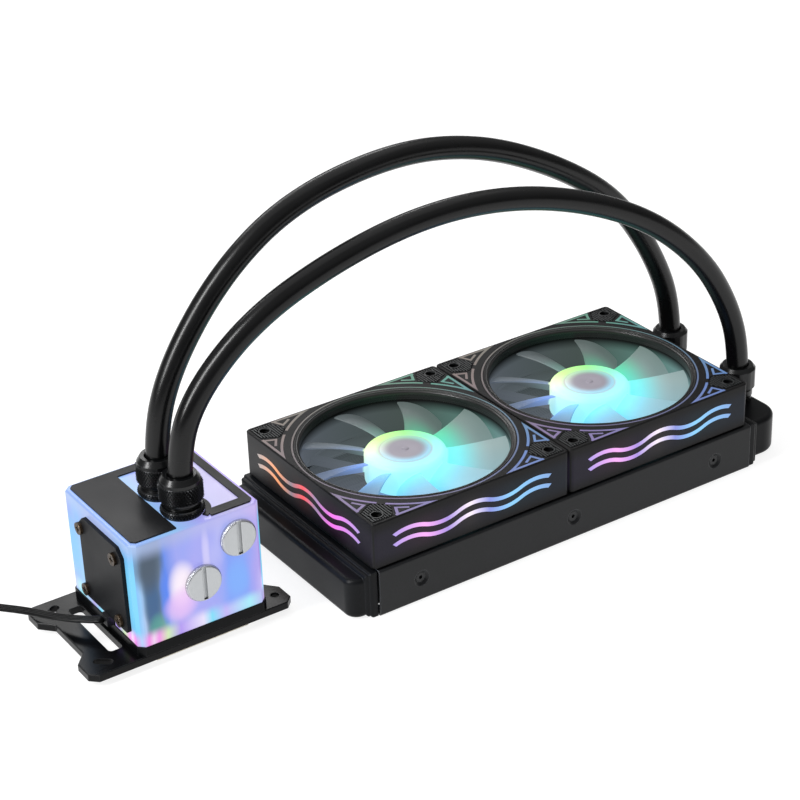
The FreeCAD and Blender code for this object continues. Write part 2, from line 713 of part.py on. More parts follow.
def blade_section(radius, share):
    """Closed section of a blade on the plane x = radius; share runs from 0 at the root to 1 at the tip."""
    chord = BLADE_CHORD_ROOT + (BLADE_CHORD_TIP - BLADE_CHORD_ROOT) * share
    angle = math.radians(BLADE_ANGLE_ROOT + (BLADE_ANGLE_TIP - BLADE_ANGLE_ROOT) * share)
    sweep = BLADE_SWEEP * share * share
    height = (FAN_Z0 + HUB_LIFT + FAN_Z1 - HUB_DROP) / 2

    def at(along, lift):
        y = sweep + along * math.cos(angle) - lift * math.sin(angle)
        return V(radius, y, height + along * math.sin(angle) + lift * math.cos(angle))

    half, thick, camber = chord / 2, BLADE_T / 2, chord * BLADE_CAMBER
    tip = thick * 0.5
    upper = Part.Arc(at(-half, tip), at(0, camber + thick), at(half, tip)).toShape()
    nose = Part.LineSegment(at(half, tip), at(half, -tip)).toShape()
    lower = Part.Arc(at(half, -tip), at(0, camber - thick), at(-half, -tip)).toShape()
    tail = Part.LineSegment(at(-half, -tip), at(-half, tip)).toShape()
    return Part.Wire([upper, nose, lower, tail])


def fan_rotor(fan_x):
    """Hub cup with its blades, moulded as one."""
    bottom = FAN_Z0 + HUB_LIFT
    top = FAN_Z1 - HUB_DROP
    tip_r = THROAT_R - BLADE_TIP_GAP
    shares = (0.0, 0.5, 1.0)
    sections = [blade_section(HUB_R - 4 + (tip_r - HUB_R + 6) * share, share) for share in shares]
    blade = Part.makeLoft(sections, True, False)
    band = rod(0, 0, bottom, top - 0.6, tip_r).cut(rod(0, 0, bottom - 1, top, HUB_R - HUB_WALL / 2))
    blade = blade.common(band)
    cup = rod(0, 0, bottom, top, HUB_R)
    rim = [edge for edge in cup.Edges if abs(edge.CenterOfMass.z - top) < 0.01 and edge.Closed]
    cup = cup.makeFillet(HUB_EDGE_R, rim[:1])
    cup = cup.cut(rod(0, 0, bottom - 1, top - HUB_TOP_T, HUB_R - HUB_WALL))
    cup = cup.cut(rod(0, 0, bottom, top - 0.8, SHAFT_R))
    rotor = fuse([cup] + spun(blade, 0, 0, BLADE_COUNT))
    rotor.translate(V(fan_x, 0, 0))
    return rotor


def rotor_magnet(fan_x):
    """Steel ring with its magnet, pressed into the hub cup."""
    outer = HUB_R - HUB_WALL
    z0 = FAN_Z0 + HUB_LIFT + 0.4
    z1 = FAN_Z1 - HUB_DROP - HUB_TOP_T
    ring = rod(fan_x, 0, z0, z1, outer)
    return ring.cut(rod(fan_x, 0, z0 - 1, z1 + 1, outer - MAGNET_T))


def rotor_shaft(fan_x):
    return rod(fan_x, 0, FAN_Z0 + 1.4, FAN_Z1 - HUB_DROP - 0.8, SHAFT_R)


def fan_bearing(fan_x):
    z0 = FAN_Z0 + 1
    z1 = FAN_Z0 + MOTOR_BASE_T + POST_H
    sleeve = rod(fan_x, 0, z0, z1, SLEEVE_R)
    return sleeve.cut(rod(fan_x, 0, z0 + 0.3, z1 + 1, SHAFT_R + RUNNING_FIT))


def fan_stator(fan_x):
    """Wound poles round the bearing post, with the round board under them."""
    board_z = FAN_Z0 + MOTOR_BASE_T
    z0 = board_z + BOARD_T
    outer = HUB_R - HUB_WALL - MAGNET_T - STATOR_GAP
    board = rod(fan_x, 0, board_z, z0, MOTOR_BASE_R - 1.5)
    core = rod(fan_x, 0, z0, z0 + STATOR_H, outer)
    ring = core.cut(rod(fan_x, 0, z0 - 1, z0 + STATOR_H + 1, outer - 2))
    gap = box(fan_x, fan_x + outer + 2, -1.2, 1.2, z0 - 1, z0 + STATOR_H + 1)
    gap.rotate(V(fan_x, 0, 0), Z_AXIS, 45)
    ring = cut(ring, spun(gap, fan_x, 0, POLE_COUNT))
    arm = box(fan_x, fan_x + outer - 1, -3.5, 3.5, z0, z0 + STATOR_H)
    poles = fuse([board, rod(fan_x, 0, z0, z0 + STATOR_H, POST_R + 3), ring] + spun(arm, fan_x, 0, POLE_COUNT))
    return poles.cut(rod(fan_x, 0, board_z - 1, FAN_Z1, POST_R))


# Pump head


def bracket_outline():
    """Outline with four chamfered ears, from the bracket's own sizes."""
    y0, y1 = BRACKET_Y - BRACKET_W / 2, BRACKET_Y + BRACKET_W / 2
    c = EAR_CHAMFER
    points = []
    sides = ((PUMP_X - WEB_REACH[0], PUMP_X - BRACKET_REACH[0], 1),
             (PUMP_X + WEB_REACH[1], PUMP_X + BRACKET_REACH[1], -1))
    for web, ear, way in sides:
        lower = [(web, y0 + EAR_L + c + abs(web - ear) / 2), (ear, y0 + EAR_L), (ear, y0 + c), (ear + way * c, y0)]
        upper = [(x, y0 + y1 - y) for x, y in reversed(lower)]
        points.append(lower + upper if way == 1 else [p for p in reversed(lower + upper)])
    left, right = points
    return left[:4] + right[4:] + right[:4] + left[4:]


def mounting_bracket():
    z0, z1 = BRACKET_Z, BASE_Z
    plate = prism(bracket_outline(), z0, z1)
    plate = plate.makeChamfer(BRACKET_EDGE, rim(plate, z1))
    slot_x = PUMP_X - SLOT_REACH
    tools = [rounded_box(slot_x, slot_x + SLOT_W, PUMP_Y - SLOT_SPAN[0], PUMP_Y + SLOT_SPAN[1],
                         z0 - 1, z1 + 1, SLOT_R)]
    half_x, half_y = COLD_STEP_X / 2 + STEP_GAP, COLD_STEP_Y / 2 + STEP_GAP
    tools.append(rounded_box(PUMP_X - half_x, PUMP_X + half_x, PUMP_Y - half_y, PUMP_Y + half_y,
                             z0 - 1, z1 + 1, COLD_CORNER_R))
    for side in (-1, 1):
        y = BRACKET_Y + side * BOLT_PITCH_Y / 2
        tools.append(rod(PUMP_X + BOLT_REACH[1], y, z0 - 1, z1 + 1, BOLT_HOLE_R))
        reach = BOLT_SLOT_L / 2 - BOLT_HOLE_R
        slot = box(-reach, reach, -BOLT_HOLE_R, BOLT_HOLE_R, z0 - 1, z1 + 1)
        slot = fuse([slot, rod(-reach, 0, z0 - 1, z1 + 1, BOLT_HOLE_R), rod(reach, 0, z0 - 1, z1 + 1, BOLT_HOLE_R)])
        slot.rotate(V(0, 0, 0), Z_AXIS, side * BOLT_SLOT_DEG)
        slot.translate(V(PUMP_X - BOLT_REACH[0], y, 0))
        tools.append(slot)
    return cut(plate, tools + cold_screw_rods(SCREW_R + SLIP, z0 - 1, z1 + 1))


def cold_screw_rods(radius, z0, z1):
    return [rod(PUMP_X + sx * COLD_SCREW_X / 2, PUMP_Y + sy * COLD_SCREW_Y / 2, z0, z1, radius)
            for sx in (-1, 1) for sy in (-1, 1)]


def cold_plate():
    """Plated base that meets the processor, with a raised step through the bracket's window."""
    x, y = COLD_X / 2, COLD_Y / 2
    foot = rounded_box(PUMP_X - x, PUMP_X + x, PUMP_Y - y, PUMP_Y + y, 0, COLD_T, COLD_CORNER_R)
    x, y = COLD_STEP_X / 2, COLD_STEP_Y / 2
    step = rounded_box(PUMP_X - x, PUMP_X + x, PUMP_Y - y, PUMP_Y + y, 0, BASE_Z, COLD_CORNER_R)
    holes = cold_screw_rods(SCREW_R + SLIP, -1, COLD_T + 1) + cold_screw_rods(SCREW_HEAD_R, -1, 1.8)
    return cut(fuse([foot, step]), holes)


def cold_plate_screws():
    screws = []
    shanks = cold_screw_rods(SCREW_R, 1.8, BASE_Z + 2.4)
    heads = cold_screw_rods(SCREW_HEAD_R - SLIP, 0.3, 1.8)
    for shank, head in zip(shanks, heads):
        middle = head.CenterOfMass
        screws.append(fuse([shank, head]).cut(hexagon(middle.x, middle.y, 0, 1.3, SOCKET_R - 0.2)))
    return Part.makeCompound(screws)


def pump_square(size, z0, z1):
    half = size / 2
    return box(PUMP_X - half, PUMP_X + half, PUMP_Y - half, PUMP_Y + half, z0, z1)


def square_frame(outer, inner, z0, z1):
    return pump_square(outer, z0, z1).cut(pump_square(inner, z0 - 1, z1 + 1))


def base_plate():
    half = HALF_BLOCK + BASE_LIP
    plate = chamfered_box(PUMP_X - half, PUMP_X + half, PUMP_Y - half, PUMP_Y + half, BASE_Z, BLOCK_Z,
                          BLOCK_CHAMFER)
    grooves = [pump_light_board(), base_seal()] + cold_screw_rods(SCREW_R, BASE_Z - 1, BASE_Z + 2.4)
    return cut(plate, grooves)


def pump_light_board():
    return square_frame(LIGHT_FRAME[0], LIGHT_FRAME[1], BLOCK_Z - BOARD_T, BLOCK_Z)


def base_seal():
    return square_frame(BASE_SEAL[0], BASE_SEAL[1], BLOCK_Z - 1.4, BLOCK_Z)


def motor_block(size, x0, x1):
    """Square block with rounded edges along the pump's axis."""
    half = size / 2
    block = box(x0, x1, PUMP_AXIS_Y - half, PUMP_AXIS_Y + half, PUMP_AXIS_Z - half, PUMP_AXIS_Z + half)
    return block.makeFillet(MOTOR_CORNER_R, edges_along(block, X_AXIS, always))


def reservoir_block():
    """Frosted block: open reservoir, pump chamber with its eye, outlet column and threaded ports."""
    block = chamfered_box(PUMP_X - HALF_BLOCK, PUMP_X + HALF_BLOCK, PUMP_Y - HALF_BLOCK, PUMP_Y + HALF_BLOCK,
                          BLOCK_Z, BLOCK_TOP, BLOCK_CHAMFER)
    block = block.makeChamfer(BLOCK_EDGE, rim(block, BLOCK_TOP))
    inner = HALF_BLOCK - WINDOW_WALL
    cavity = rounded_box(CAVITY_X0, PUMP_X + inner, PUMP_Y - inner, PUMP_Y + inner,
                         BLOCK_Z + CAVITY_FLOOR, BLOCK_TOP - CAVITY_ROOF, CAVITY_CORNER_R)
    column = rod(PUMP_PORT_X, PUMP_PORT_YS[0], BLOCK_Z, BLOCK_TOP, COLUMN_R)
    cavity = cavity.cut(column)
    pocket_end = BLOCK_LEFT + MOTOR_T + SEAL_T
    chamber_end = pocket_end + CHAMBER_T
    port = PUMP_PORT_YS
    channel_z = PUMP_AXIS_Z - CHAMBER_R + CHANNEL_R
    tools = [
        cavity,
        motor_block(MOTOR_SIZE + 2 * SLIP, BLOCK_LEFT - 1, pocket_end),
        rod_x(pocket_end, chamber_end, PUMP_AXIS_Y, PUMP_AXIS_Z, CHAMBER_R),
        rod_x(chamber_end, CAVITY_X0 + 1, PUMP_AXIS_Y, PUMP_AXIS_Z, EYE_R),
        rod(PUMP_PORT_X, port[0], channel_z, BLOCK_TOP, CHANNEL_R),
        rod(PUMP_PORT_X, port[0], BLOCK_TOP - CAVITY_ROOF, BLOCK_TOP + 1, PORT_THREAD_R),
        rod(PUMP_PORT_X, port[1], BLOCK_TOP - CAVITY_ROOF - 1, BLOCK_TOP + 1, PORT_THREAD_R),
        box(BLOCK_LEFT - 1, BLOCK_LEFT + GLAND_SIZE[0], GLAND_Y - GLAND_SIZE[1] / 2,
            GLAND_Y + GLAND_SIZE[1] / 2, BLOCK_Z, BLOCK_Z + GLAND_SIZE[2]),
    ]
    for x, z in plug_places():
        tools.append(rod_y(x, BLOCK_FRONT - 1, BLOCK_FRONT + PLUG_STUD_L + 0.4, z, PLUG_STUD_R))
    for y, z in side_screw_places():
        tools.append(rod_x(BLOCK_LEFT - 1, BLOCK_LEFT + SIDE_SCREW_L, y, z, SCREW_R))
    return cut(block, tools)


def top_plate():
    """Thin plate: a wide panel, a rim round the window and a hook beside the front fitting."""
    z0, z1 = BLOCK_TOP, BLOCK_TOP + PLATE_T
    half = HALF_BLOCK - PLATE_INSET
    x1 = PUMP_X + half
    y0, y1 = PUMP_Y - half, PUMP_Y + half
    plate = chamfered_box(PUMP_X - half, x1, y0, y1, z0, z1, 2.0)
    panel_x = PUMP_X + PLATE_PANEL_DX
    window = rounded_box(panel_x, x1 - PLATE_RIM, y0 + PLATE_FRONT_RIM, y1 - PLATE_FRONT_RIM,
                         z0 - 1, z1 + 1, 1.2)
    mouth = box(panel_x, PUMP_X + PLATE_TAB_DX, y0 - 1, y0 + PLATE_FRONT_RIM + 3, z0 - 1, z1 + 1)
    plate = plate.cut(window).cut(mouth)
    x, y = PUMP_PORT_X, PUMP_PORT_YS[0]
    hook = rod(x, y, z0, z1, PLATE_HOOK[1])
    reach = PLATE_HOOK[1] + 1
    wedge = prism([(x, y), (x + reach * 0.62, y - reach), (x + 2 * reach, y), (x + reach * 1.4, y + reach * 0.4)],
                  z0 - 1, z1 + 1)
    plate = fuse([plate, hook.common(wedge)])
    return plate.cut(rod(x, y, z0 - 1, z1 + 1, PLATE_HOOK[0]))


def plug_places():
    return [(PUMP_X + dx, BLOCK_Z + rise) for dx, rise in PLUG_OFFSETS]


def side_screw_places():
    half = SIDE_SCREW_PITCH / 2
    return [(PUMP_AXIS_Y + sy * half, PUMP_AXIS_Z + sz * half) for sy in (-1, 1) for sz in (-1, 1)]


def side_plate():
    """Cover of the pump motor, with its two upper corners cut off."""
    x0, x1 = BLOCK_LEFT - SIDE_PLATE_T, BLOCK_LEFT
    y0, y1 = PUMP_AXIS_Y - SIDE_PLATE_REACH_Y[0], PUMP_AXIS_Y + SIDE_PLATE_REACH_Y[1]
    plate = box(x0, x1, y0, y1, SIDE_PLATE_FOOT, PUMP_AXIS_Z + SIDE_PLATE_REACH_Z[1])
    plate = plate.makeChamfer(SIDE_PLATE_CUT, edges_along(plate, X_AXIS, lambda p: p.z > PUMP_AXIS_Z))
    plate = plate.makeFillet(SIDE_PLATE_R, edges_along(plate, X_AXIS, always))
    return cut(plate, [rod_x(x0 - 1, x1 + 1, y, z, SCREW_R) for y, z in side_screw_places()])


def side_plate_screws():
    """Cross-recess screws whose heads clamp the side plate."""
    face = BLOCK_LEFT - SIDE_PLATE_T
    screws = []
    for y, z in side_screw_places():
        shank = rod_x(face, BLOCK_LEFT + SIDE_SCREW_L, y, z, SCREW_R)
        head = rod_x(face - SIDE_SCREW_HEAD_T, face, y, z, SIDE_SCREW_HEAD_R)
        x0, x1 = face - SIDE_SCREW_HEAD_T - 1, face - SIDE_SCREW_HEAD_T + 1
        cross = [box(x0, x1, y - 2, y + 2, z - 0.45, z + 0.45), box(x0, x1, y - 0.45, y + 0.45, z - 2, z + 2)]
        screws.append(cut(fuse([shank, head]), cross))
    return Part.makeCompound(screws)


def pump_motor():
    """Sealed motor block with the blind bearing for the impeller's shaft."""
    end = BLOCK_LEFT + MOTOR_T
    motor = motor_block(MOTOR_SIZE, BLOCK_LEFT, end)
    tools = [rod_x(end - IMPELLER_SHAFT_L - 0.4, end + 1, PUMP_AXIS_Y, PUMP_AXIS_Z, SHAFT_R + RUNNING_FIT)]
    for y, z in side_screw_places():
        tools.append(rod_x(BLOCK_LEFT - 1, BLOCK_LEFT + SIDE_SCREW_L + 0.2, y, z, SCREW_R))
    return cut(motor, tools)


def pump_seal():
    x0 = BLOCK_LEFT + MOTOR_T
    ring = rod_x(x0, x0 + SEAL_T, PUMP_AXIS_Y, PUMP_AXIS_Z, CHAMBER_R + 2.6)
    return ring.cut(rod_x(x0 - 1, x0 + 1, PUMP_AXIS_Y, PUMP_AXIS_Z, CHAMBER_R))


def impeller():
    """Disc with curved vanes and its shaft, on the pump's axis."""
    back = BLOCK_LEFT + MOTOR_T + SEAL_T + 0.5
    disc = rod(0, 0, 0, IMPELLER_T, IMPELLER_R)
    ring = rod(0, IMPELLER_R * 0.62, IMPELLER_T / 2, IMPELLER_T + VANE_H, IMPELLER_R * 0.55)
    inner = rod(0, IMPELLER_R * 0.62, 0, IMPELLER_T + VANE_H + 1, IMPELLER_R * 0.55 - VANE_T)
    half = box(0, IMPELLER_R, 0, IMPELLER_R * 2, 0, IMPELLER_T + VANE_H + 1)
    vane = ring.cut(inner).common(half).common(rod(0, 0, 0, 20, IMPELLER_R - 0.3))
    hub = rod(0, 0, 0, IMPELLER_T + VANE_H * 0.6, 3.0)
    shaft = rod(0, 0, -IMPELLER_SHAFT_L, 1, SHAFT_R)
    wheel = fuse([disc, hub, shaft] + spun(vane, 0, 0, VANE_COUNT))
    wheel.rotate(V(0, 0, 0), Y_AXIS, 90)
    wheel.translate(V(back, PUMP_AXIS_Y, PUMP_AXIS_Z))
    return wheel


def fill_plugs():
    """Two slotted plugs screwed into the front face."""
    plugs = []
    for x, z in plug_places():
        head = rod_y(x, BLOCK_FRONT - PLUG_T, BLOCK_FRONT, z, PLUG_R)
        rim = [edge for edge in head.Edges
               if edge.Closed and abs(edge.CenterOfMass.y - BLOCK_FRONT + PLUG_T) < 0.01]
        head = head.makeChamfer(0.5, rim[:1])
        stud = rod_y(x, BLOCK_FRONT - 1, BLOCK_FRONT + PLUG_STUD_L, z, PLUG_STUD_R)
        front = BLOCK_FRONT - PLUG_T
        slot = box(x - PLUG_SLOT_W / 2, x + PLUG_SLOT_W / 2, front - 1, front + PLUG_SLOT_DEPTH,
                   z - PLUG_R - 1, z + PLUG_R + 1)
        plugs.append(fuse([head, stud]).cut(slot))
    return Part.makeCompound(plugs)


# Fittings, hoses and cable


def fitting_bases(x, ys, floor, steps, stud_l):
    """Stepped base with a threaded stud below, turned about the port's axis."""
    profile = [(0, floor - stud_l), (PORT_THREAD_R, floor - stud_l), (PORT_THREAD_R, floor)]
    height = floor
    for radius, tall in steps:
        profile += [(radius, height), (radius, height + tall)]
        height += tall
    profile.append((0, height))
    return Part.makeCompound([turned(profile, x, y) for y in ys])


def fitting_collars(x, ys, floor, form, facets=0):
    """Clamping collar round the hose end: outer radius, height, then the chamfer's two legs."""
    radius, tall, inset, drop = form
    profile = [(COLLAR_BORE_R, floor), (radius - 0.5, floor), (radius, floor + 0.5), (radius, floor + tall - drop),
               (radius - inset, floor + tall), (COLLAR_BORE_R, floor + tall)]
    collars = []
    for y in ys:
        collar = turned(profile, x, y)
        if facets:
            flat_r = radius / math.cos(math.pi / facets) * 0.985
            sides = [(x + flat_r * math.cos(2 * math.pi * i / facets), y + flat_r * math.sin(2 * math.pi * i / facets))
                     for i in range(facets)]
            collar = collar.common(prism(sides, floor - 1, floor + tall + 1))
        collars.append(collar)
    return Part.makeCompound(collars)


def route_wire(points):
    """Straight runs joined by tangent arcs, each as large as its two runs allow."""
    spots = [V(*p) for p in points]
    edges = []
    radii = []
    start = spots[0]
    for before, here, after in zip(spots, spots[1:], spots[2:]):
        back = before.sub(here)
        ahead = after.sub(here)
        turn = math.pi - back.getAngle(ahead)
        reach = 0.45 * min(back.Length, ahead.Length)
        radii.append(reach / math.tan(turn / 2))
        back.normalize()
        ahead.normalize()
        enter = here + back * reach
        leave = here + ahead * reach
        inward = back + ahead
        inward.normalize()
        middle = here + inward * (radii[-1] / math.cos(turn / 2) - radii[-1])
        edges.append(Part.LineSegment(start, enter).toShape())
        edges.append(Part.Arc(enter, middle, leave).toShape())
        start = leave
    edges.append(Part.LineSegment(start, spots[-1]).toShape())
    return Part.Wire(edges), radii


def cord_tube(name, points, radius):
    wire, radii = route_wire(points)
    start = V(*points[0])
    way = V(*points[1]).sub(start)
    ring = Part.Face(Part.Wire(Part.makeCircle(radius, start, way)))
    tube = wire.makePipe(ring)
    share = tube.Volume / (math.pi * radius * radius * wire.Length)
    print(name, "length", round(wire.Length, 1), "volume share", round(share, 4),
          "radii", [round(r) for r in radii])
    return tube


def cable_gland():
    deep, wide, tall = GLAND_SIZE
    inner = box(BLOCK_LEFT, BLOCK_LEFT + deep, GLAND_Y - wide / 2, GLAND_Y + wide / 2, BLOCK_Z, BLOCK_Z + tall)
    lip = box(GLAND_FACE_X, BLOCK_LEFT, GLAND_Y - wide / 2 + 0.6, GLAND_Y + wide / 2 - 0.6,
              BLOCK_Z + 0.2, SIDE_PLATE_FOOT - SLIP)
    return fuse([inner, lip])


def cable_coil():
    """Closed ring that the coiled cable fills, lying on its strap."""
    return Part.makeTorus(COIL_RING_R, COIL_R, V(COIL_CENTRE[0], COIL_CENTRE[1], COIL_R + TIE_T))


def cable_tie():
    """Strap round the coil on its far side."""
    x, y = COIL_CENTRE[0] - COIL_RING_R, COIL_CENTRE[1]
    band = rod_y(x, y - TIE_W / 2, y + TIE_W / 2, COIL_R + TIE_T, COIL_R + TIE_T)
    return band.cut(cable_coil())


def cable_plug():
    long, wide, tall = PLUG_BODY
    x, y, z = CABLE_TAIL[-1]
    way = math.degrees(math.atan2(y - CABLE_TAIL[-2][1], x - CABLE_TAIL[-2][0]))
    body = box(0, long, -wide / 2, wide / 2, 0, tall)
    body = body.makeFillet(0.6, edges_along(body, X_AXIS, always))
    sockets = [box(long - 6, long + 1, y0 - 0.5, y0 + 0.5, tall / 2 - 0.5, tall / 2 + 0.5)
               for y0 in (-3.81, -1.27, 1.27, 3.81)]
    body = cut(body, sockets)
    body.rotate(V(0, 0, 0), Z_AXIS, way)
    body.translate(V(x, y, 0))
    return body


sizes = []
os.makedirs("parts", exist_ok=True)

save("front_rail", side_rail(-1))
save("rear_rail", side_rail(1))
save("rail_screws", rail_screws())
save("core_tubes", core_tubes())
save("cooling_fins", cooling_fins())
save("left_header_plate", header_plate(-1))
save("right_header_plate", header_plate(1))
save("left_tank", end_tank(-1, LEFT_TANK_END, LEFT_TANK_INSET, LEFT_TANK_CORNER_R))
save("right_tank", right_tank())
save("tank_baffle", tank_baffle())

for fan, place in (("left_fan_", -FAN_X), ("right_fan_", FAN_X)):
    save(fan + "frame", fan_frame(place))
    save(fan + "rotor", fan_rotor(place))
    save(fan + "magnet", rotor_magnet(place))
    save(fan + "shaft", rotor_shaft(place))
    save(fan + "bearing", fan_bearing(place))
    save(fan + "stator", fan_stator(place))
    save(fan + "corner_pads", pads(place, FAN_Z1 - PAD_T, FAN_Z1 - 0.2, SCREW_HEAD_R + 0.5))
    save(fan + "lower_pads", pads(place, RAD_H, FAN_Z0 + LOWER_PAD_SINK, SCREW_R + SCREW_PASS))
    save(fan + "screws", fan_screws(place))
    save(fan + "top_lights", top_lights(place))
    save(fan + "side_lights", side_lights(place))

save("cold_plate", cold_plate())
save("cold_plate_screws", cold_plate_screws())
save("mounting_bracket", mounting_bracket())
save("base_plate", base_plate())
save("base_seal", base_seal())
save("pump_light_board", pump_light_board())
save("reservoir_block", reservoir_block())
save("top_plate", top_plate())
save("side_plate", side_plate())
save("side_plate_screws", side_plate_screws())
save("pump_motor", pump_motor())
save("pump_seal", pump_seal())
save("impeller", impeller())
save("fill_plugs", fill_plugs())

save("pump_fitting_bases", fitting_bases(PUMP_PORT_X, PUMP_PORT_YS, BLOCK_TOP, PUMP_FOOT, CAVITY_ROOF - 0.5))
save("pump_fitting_collars", fitting_collars(PUMP_PORT_X, PUMP_PORT_YS, PUMP_HOSE_Z, PUMP_COLLAR))
save("radiator_fitting_bases", fitting_bases(RAD_PORT_X, RAD_PORT_YS, TANK_Z1, RAD_FOOT, TANK_WALL + 1))
save("radiator_fitting_collars",
     fitting_collars(RAD_PORT_X, RAD_PORT_YS, RAD_HOSE_Z, RAD_COLLAR, COLLAR_FACETS))
save("front_hose", cord_tube("front_hose", FRONT_HOSE, HOSE_R))
save("rear_hose", cord_tube("rear_hose", REAR_HOSE, HOSE_R))
save("cable_gland", cable_gland())
save("pump_cable", cord_tube("pump_cable", CABLE_LEAD, CABLE_R))
save("cable_coil", cable_coil())
save("cable_tie", cable_tie())
save("cable_tail", cord_tube("cable_tail", CABLE_TAIL, CABLE_R))
save("cable_plug", cable_plug())

total = 0
for name, shape in sizes:
    points, faces = shape.tessellate(0.1)
    total += len(faces)
    print(name, "solids", len(shape.Solids), "valid", shape.isValid(), "triangles", len(faces))
print("nodes", len(sizes), "triangles", total)
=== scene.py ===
import math

import bmesh
import bpy
from mathutils import Matrix, Vector


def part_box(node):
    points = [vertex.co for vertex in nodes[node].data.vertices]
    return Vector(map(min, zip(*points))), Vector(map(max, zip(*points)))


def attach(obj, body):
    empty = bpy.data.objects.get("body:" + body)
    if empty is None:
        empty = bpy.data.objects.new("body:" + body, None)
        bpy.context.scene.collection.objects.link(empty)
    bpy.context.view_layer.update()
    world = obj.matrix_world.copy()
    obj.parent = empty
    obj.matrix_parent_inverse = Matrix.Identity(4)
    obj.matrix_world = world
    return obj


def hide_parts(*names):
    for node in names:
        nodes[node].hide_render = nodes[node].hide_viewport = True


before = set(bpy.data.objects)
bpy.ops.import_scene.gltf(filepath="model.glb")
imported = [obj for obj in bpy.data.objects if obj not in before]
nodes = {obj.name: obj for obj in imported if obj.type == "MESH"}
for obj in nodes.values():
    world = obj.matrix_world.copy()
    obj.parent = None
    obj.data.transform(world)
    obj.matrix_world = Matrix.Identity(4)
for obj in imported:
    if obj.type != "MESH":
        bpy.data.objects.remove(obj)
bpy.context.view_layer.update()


# Where the cooler lies: a white table that gives some light of its own, as a lit sweep does, under a large
# soft box overhead and two narrow ones that draw the long streaks on the hoses. The camera stands where the
# photograph was taken from.
CAMERA_PLACE = (-0.59948, -0.82225, 0.60333)
CAMERA_TURNS = (-33.152659, 61.776112, -2.137066)
LENS = 98.8
SENSOR = 36.0
NEAREST_SEEN = 0.01
TABLE_SIZE = 12.0
TABLE = "#8c8c8c"
TABLE_WORN = "#949494"
TABLE_LIGHT = "#fbfbfb"
TABLE_GLOW = 0.88
SKY = "#ffffff"
SKY_LOW, SKY_HIGH = 0.14, 0.42
SKY_RISE = (0.1, 0.75)
SOFT_BOXES = (
    ("overhead_box", (0.15, 0.35, 1.5), (0.0, 0.0, 0.0), (1.9, 1.5), 4.5),
    ("left_box", (-1.2, 0.02, 0.95), (-0.1, 0.0, 0.12), (0.24, 1.1), 22.0),
    ("rear_box", (0.2, 1.2, 0.9), (0.0, 0.0, 0.1), (1.2, 0.22), 4.5),
)
# Sockets of a colour mix: the share of the upper colour, and the two colours.
SHARE, UNDER, OVER = 0, 6, 7
# Tone and gloss drift over about 30 mm.
DRIFT_SCALE = 34.0


def srgb(value):
    """Linear colour of an sRGB hex value."""
    channels = [int(value[i:i + 2], 16) / 255 for i in (1, 3, 5)]
    return [c / 12.92 if c <= 0.04045 else ((c + 0.055) / 1.055) ** 2.4 for c in channels] + [1.0]


def add(tree, kind, inputs=None, stops=(), **settings):
    """Adds a node with its settings, its inputs (links, values or hex colours) and its colour stops, and
    returns the first output that is in use."""
    node = tree.nodes.new(kind)
    for name, value in settings.items():
        setattr(node, name, value)
    for key, value in (inputs or {}).items():
        if isinstance(value, bpy.types.NodeSocket):
            tree.links.new(value, node.inputs[key])
        else:
            node.inputs[key].default_value = srgb(value) if isinstance(value, str) else value
    if stops:
        ends = node.color_ramp.elements
        for end, (place, colour) in ((ends[0], stops[0]), (ends[-1], stops[-1])):
            end.position = place
            end.color = srgb(colour)
        for place, colour in stops[1:-1]:
            ends.new(place).color = srgb(colour)
    return next((output for output in node.outputs if output.enabled), node)


def new_tree(name):
    """A material with empty nodes; returns both."""
    material = bpy.data.materials.new(name)
    material.use_nodes = True
    material.node_tree.nodes.clear()
    return material, material.node_tree


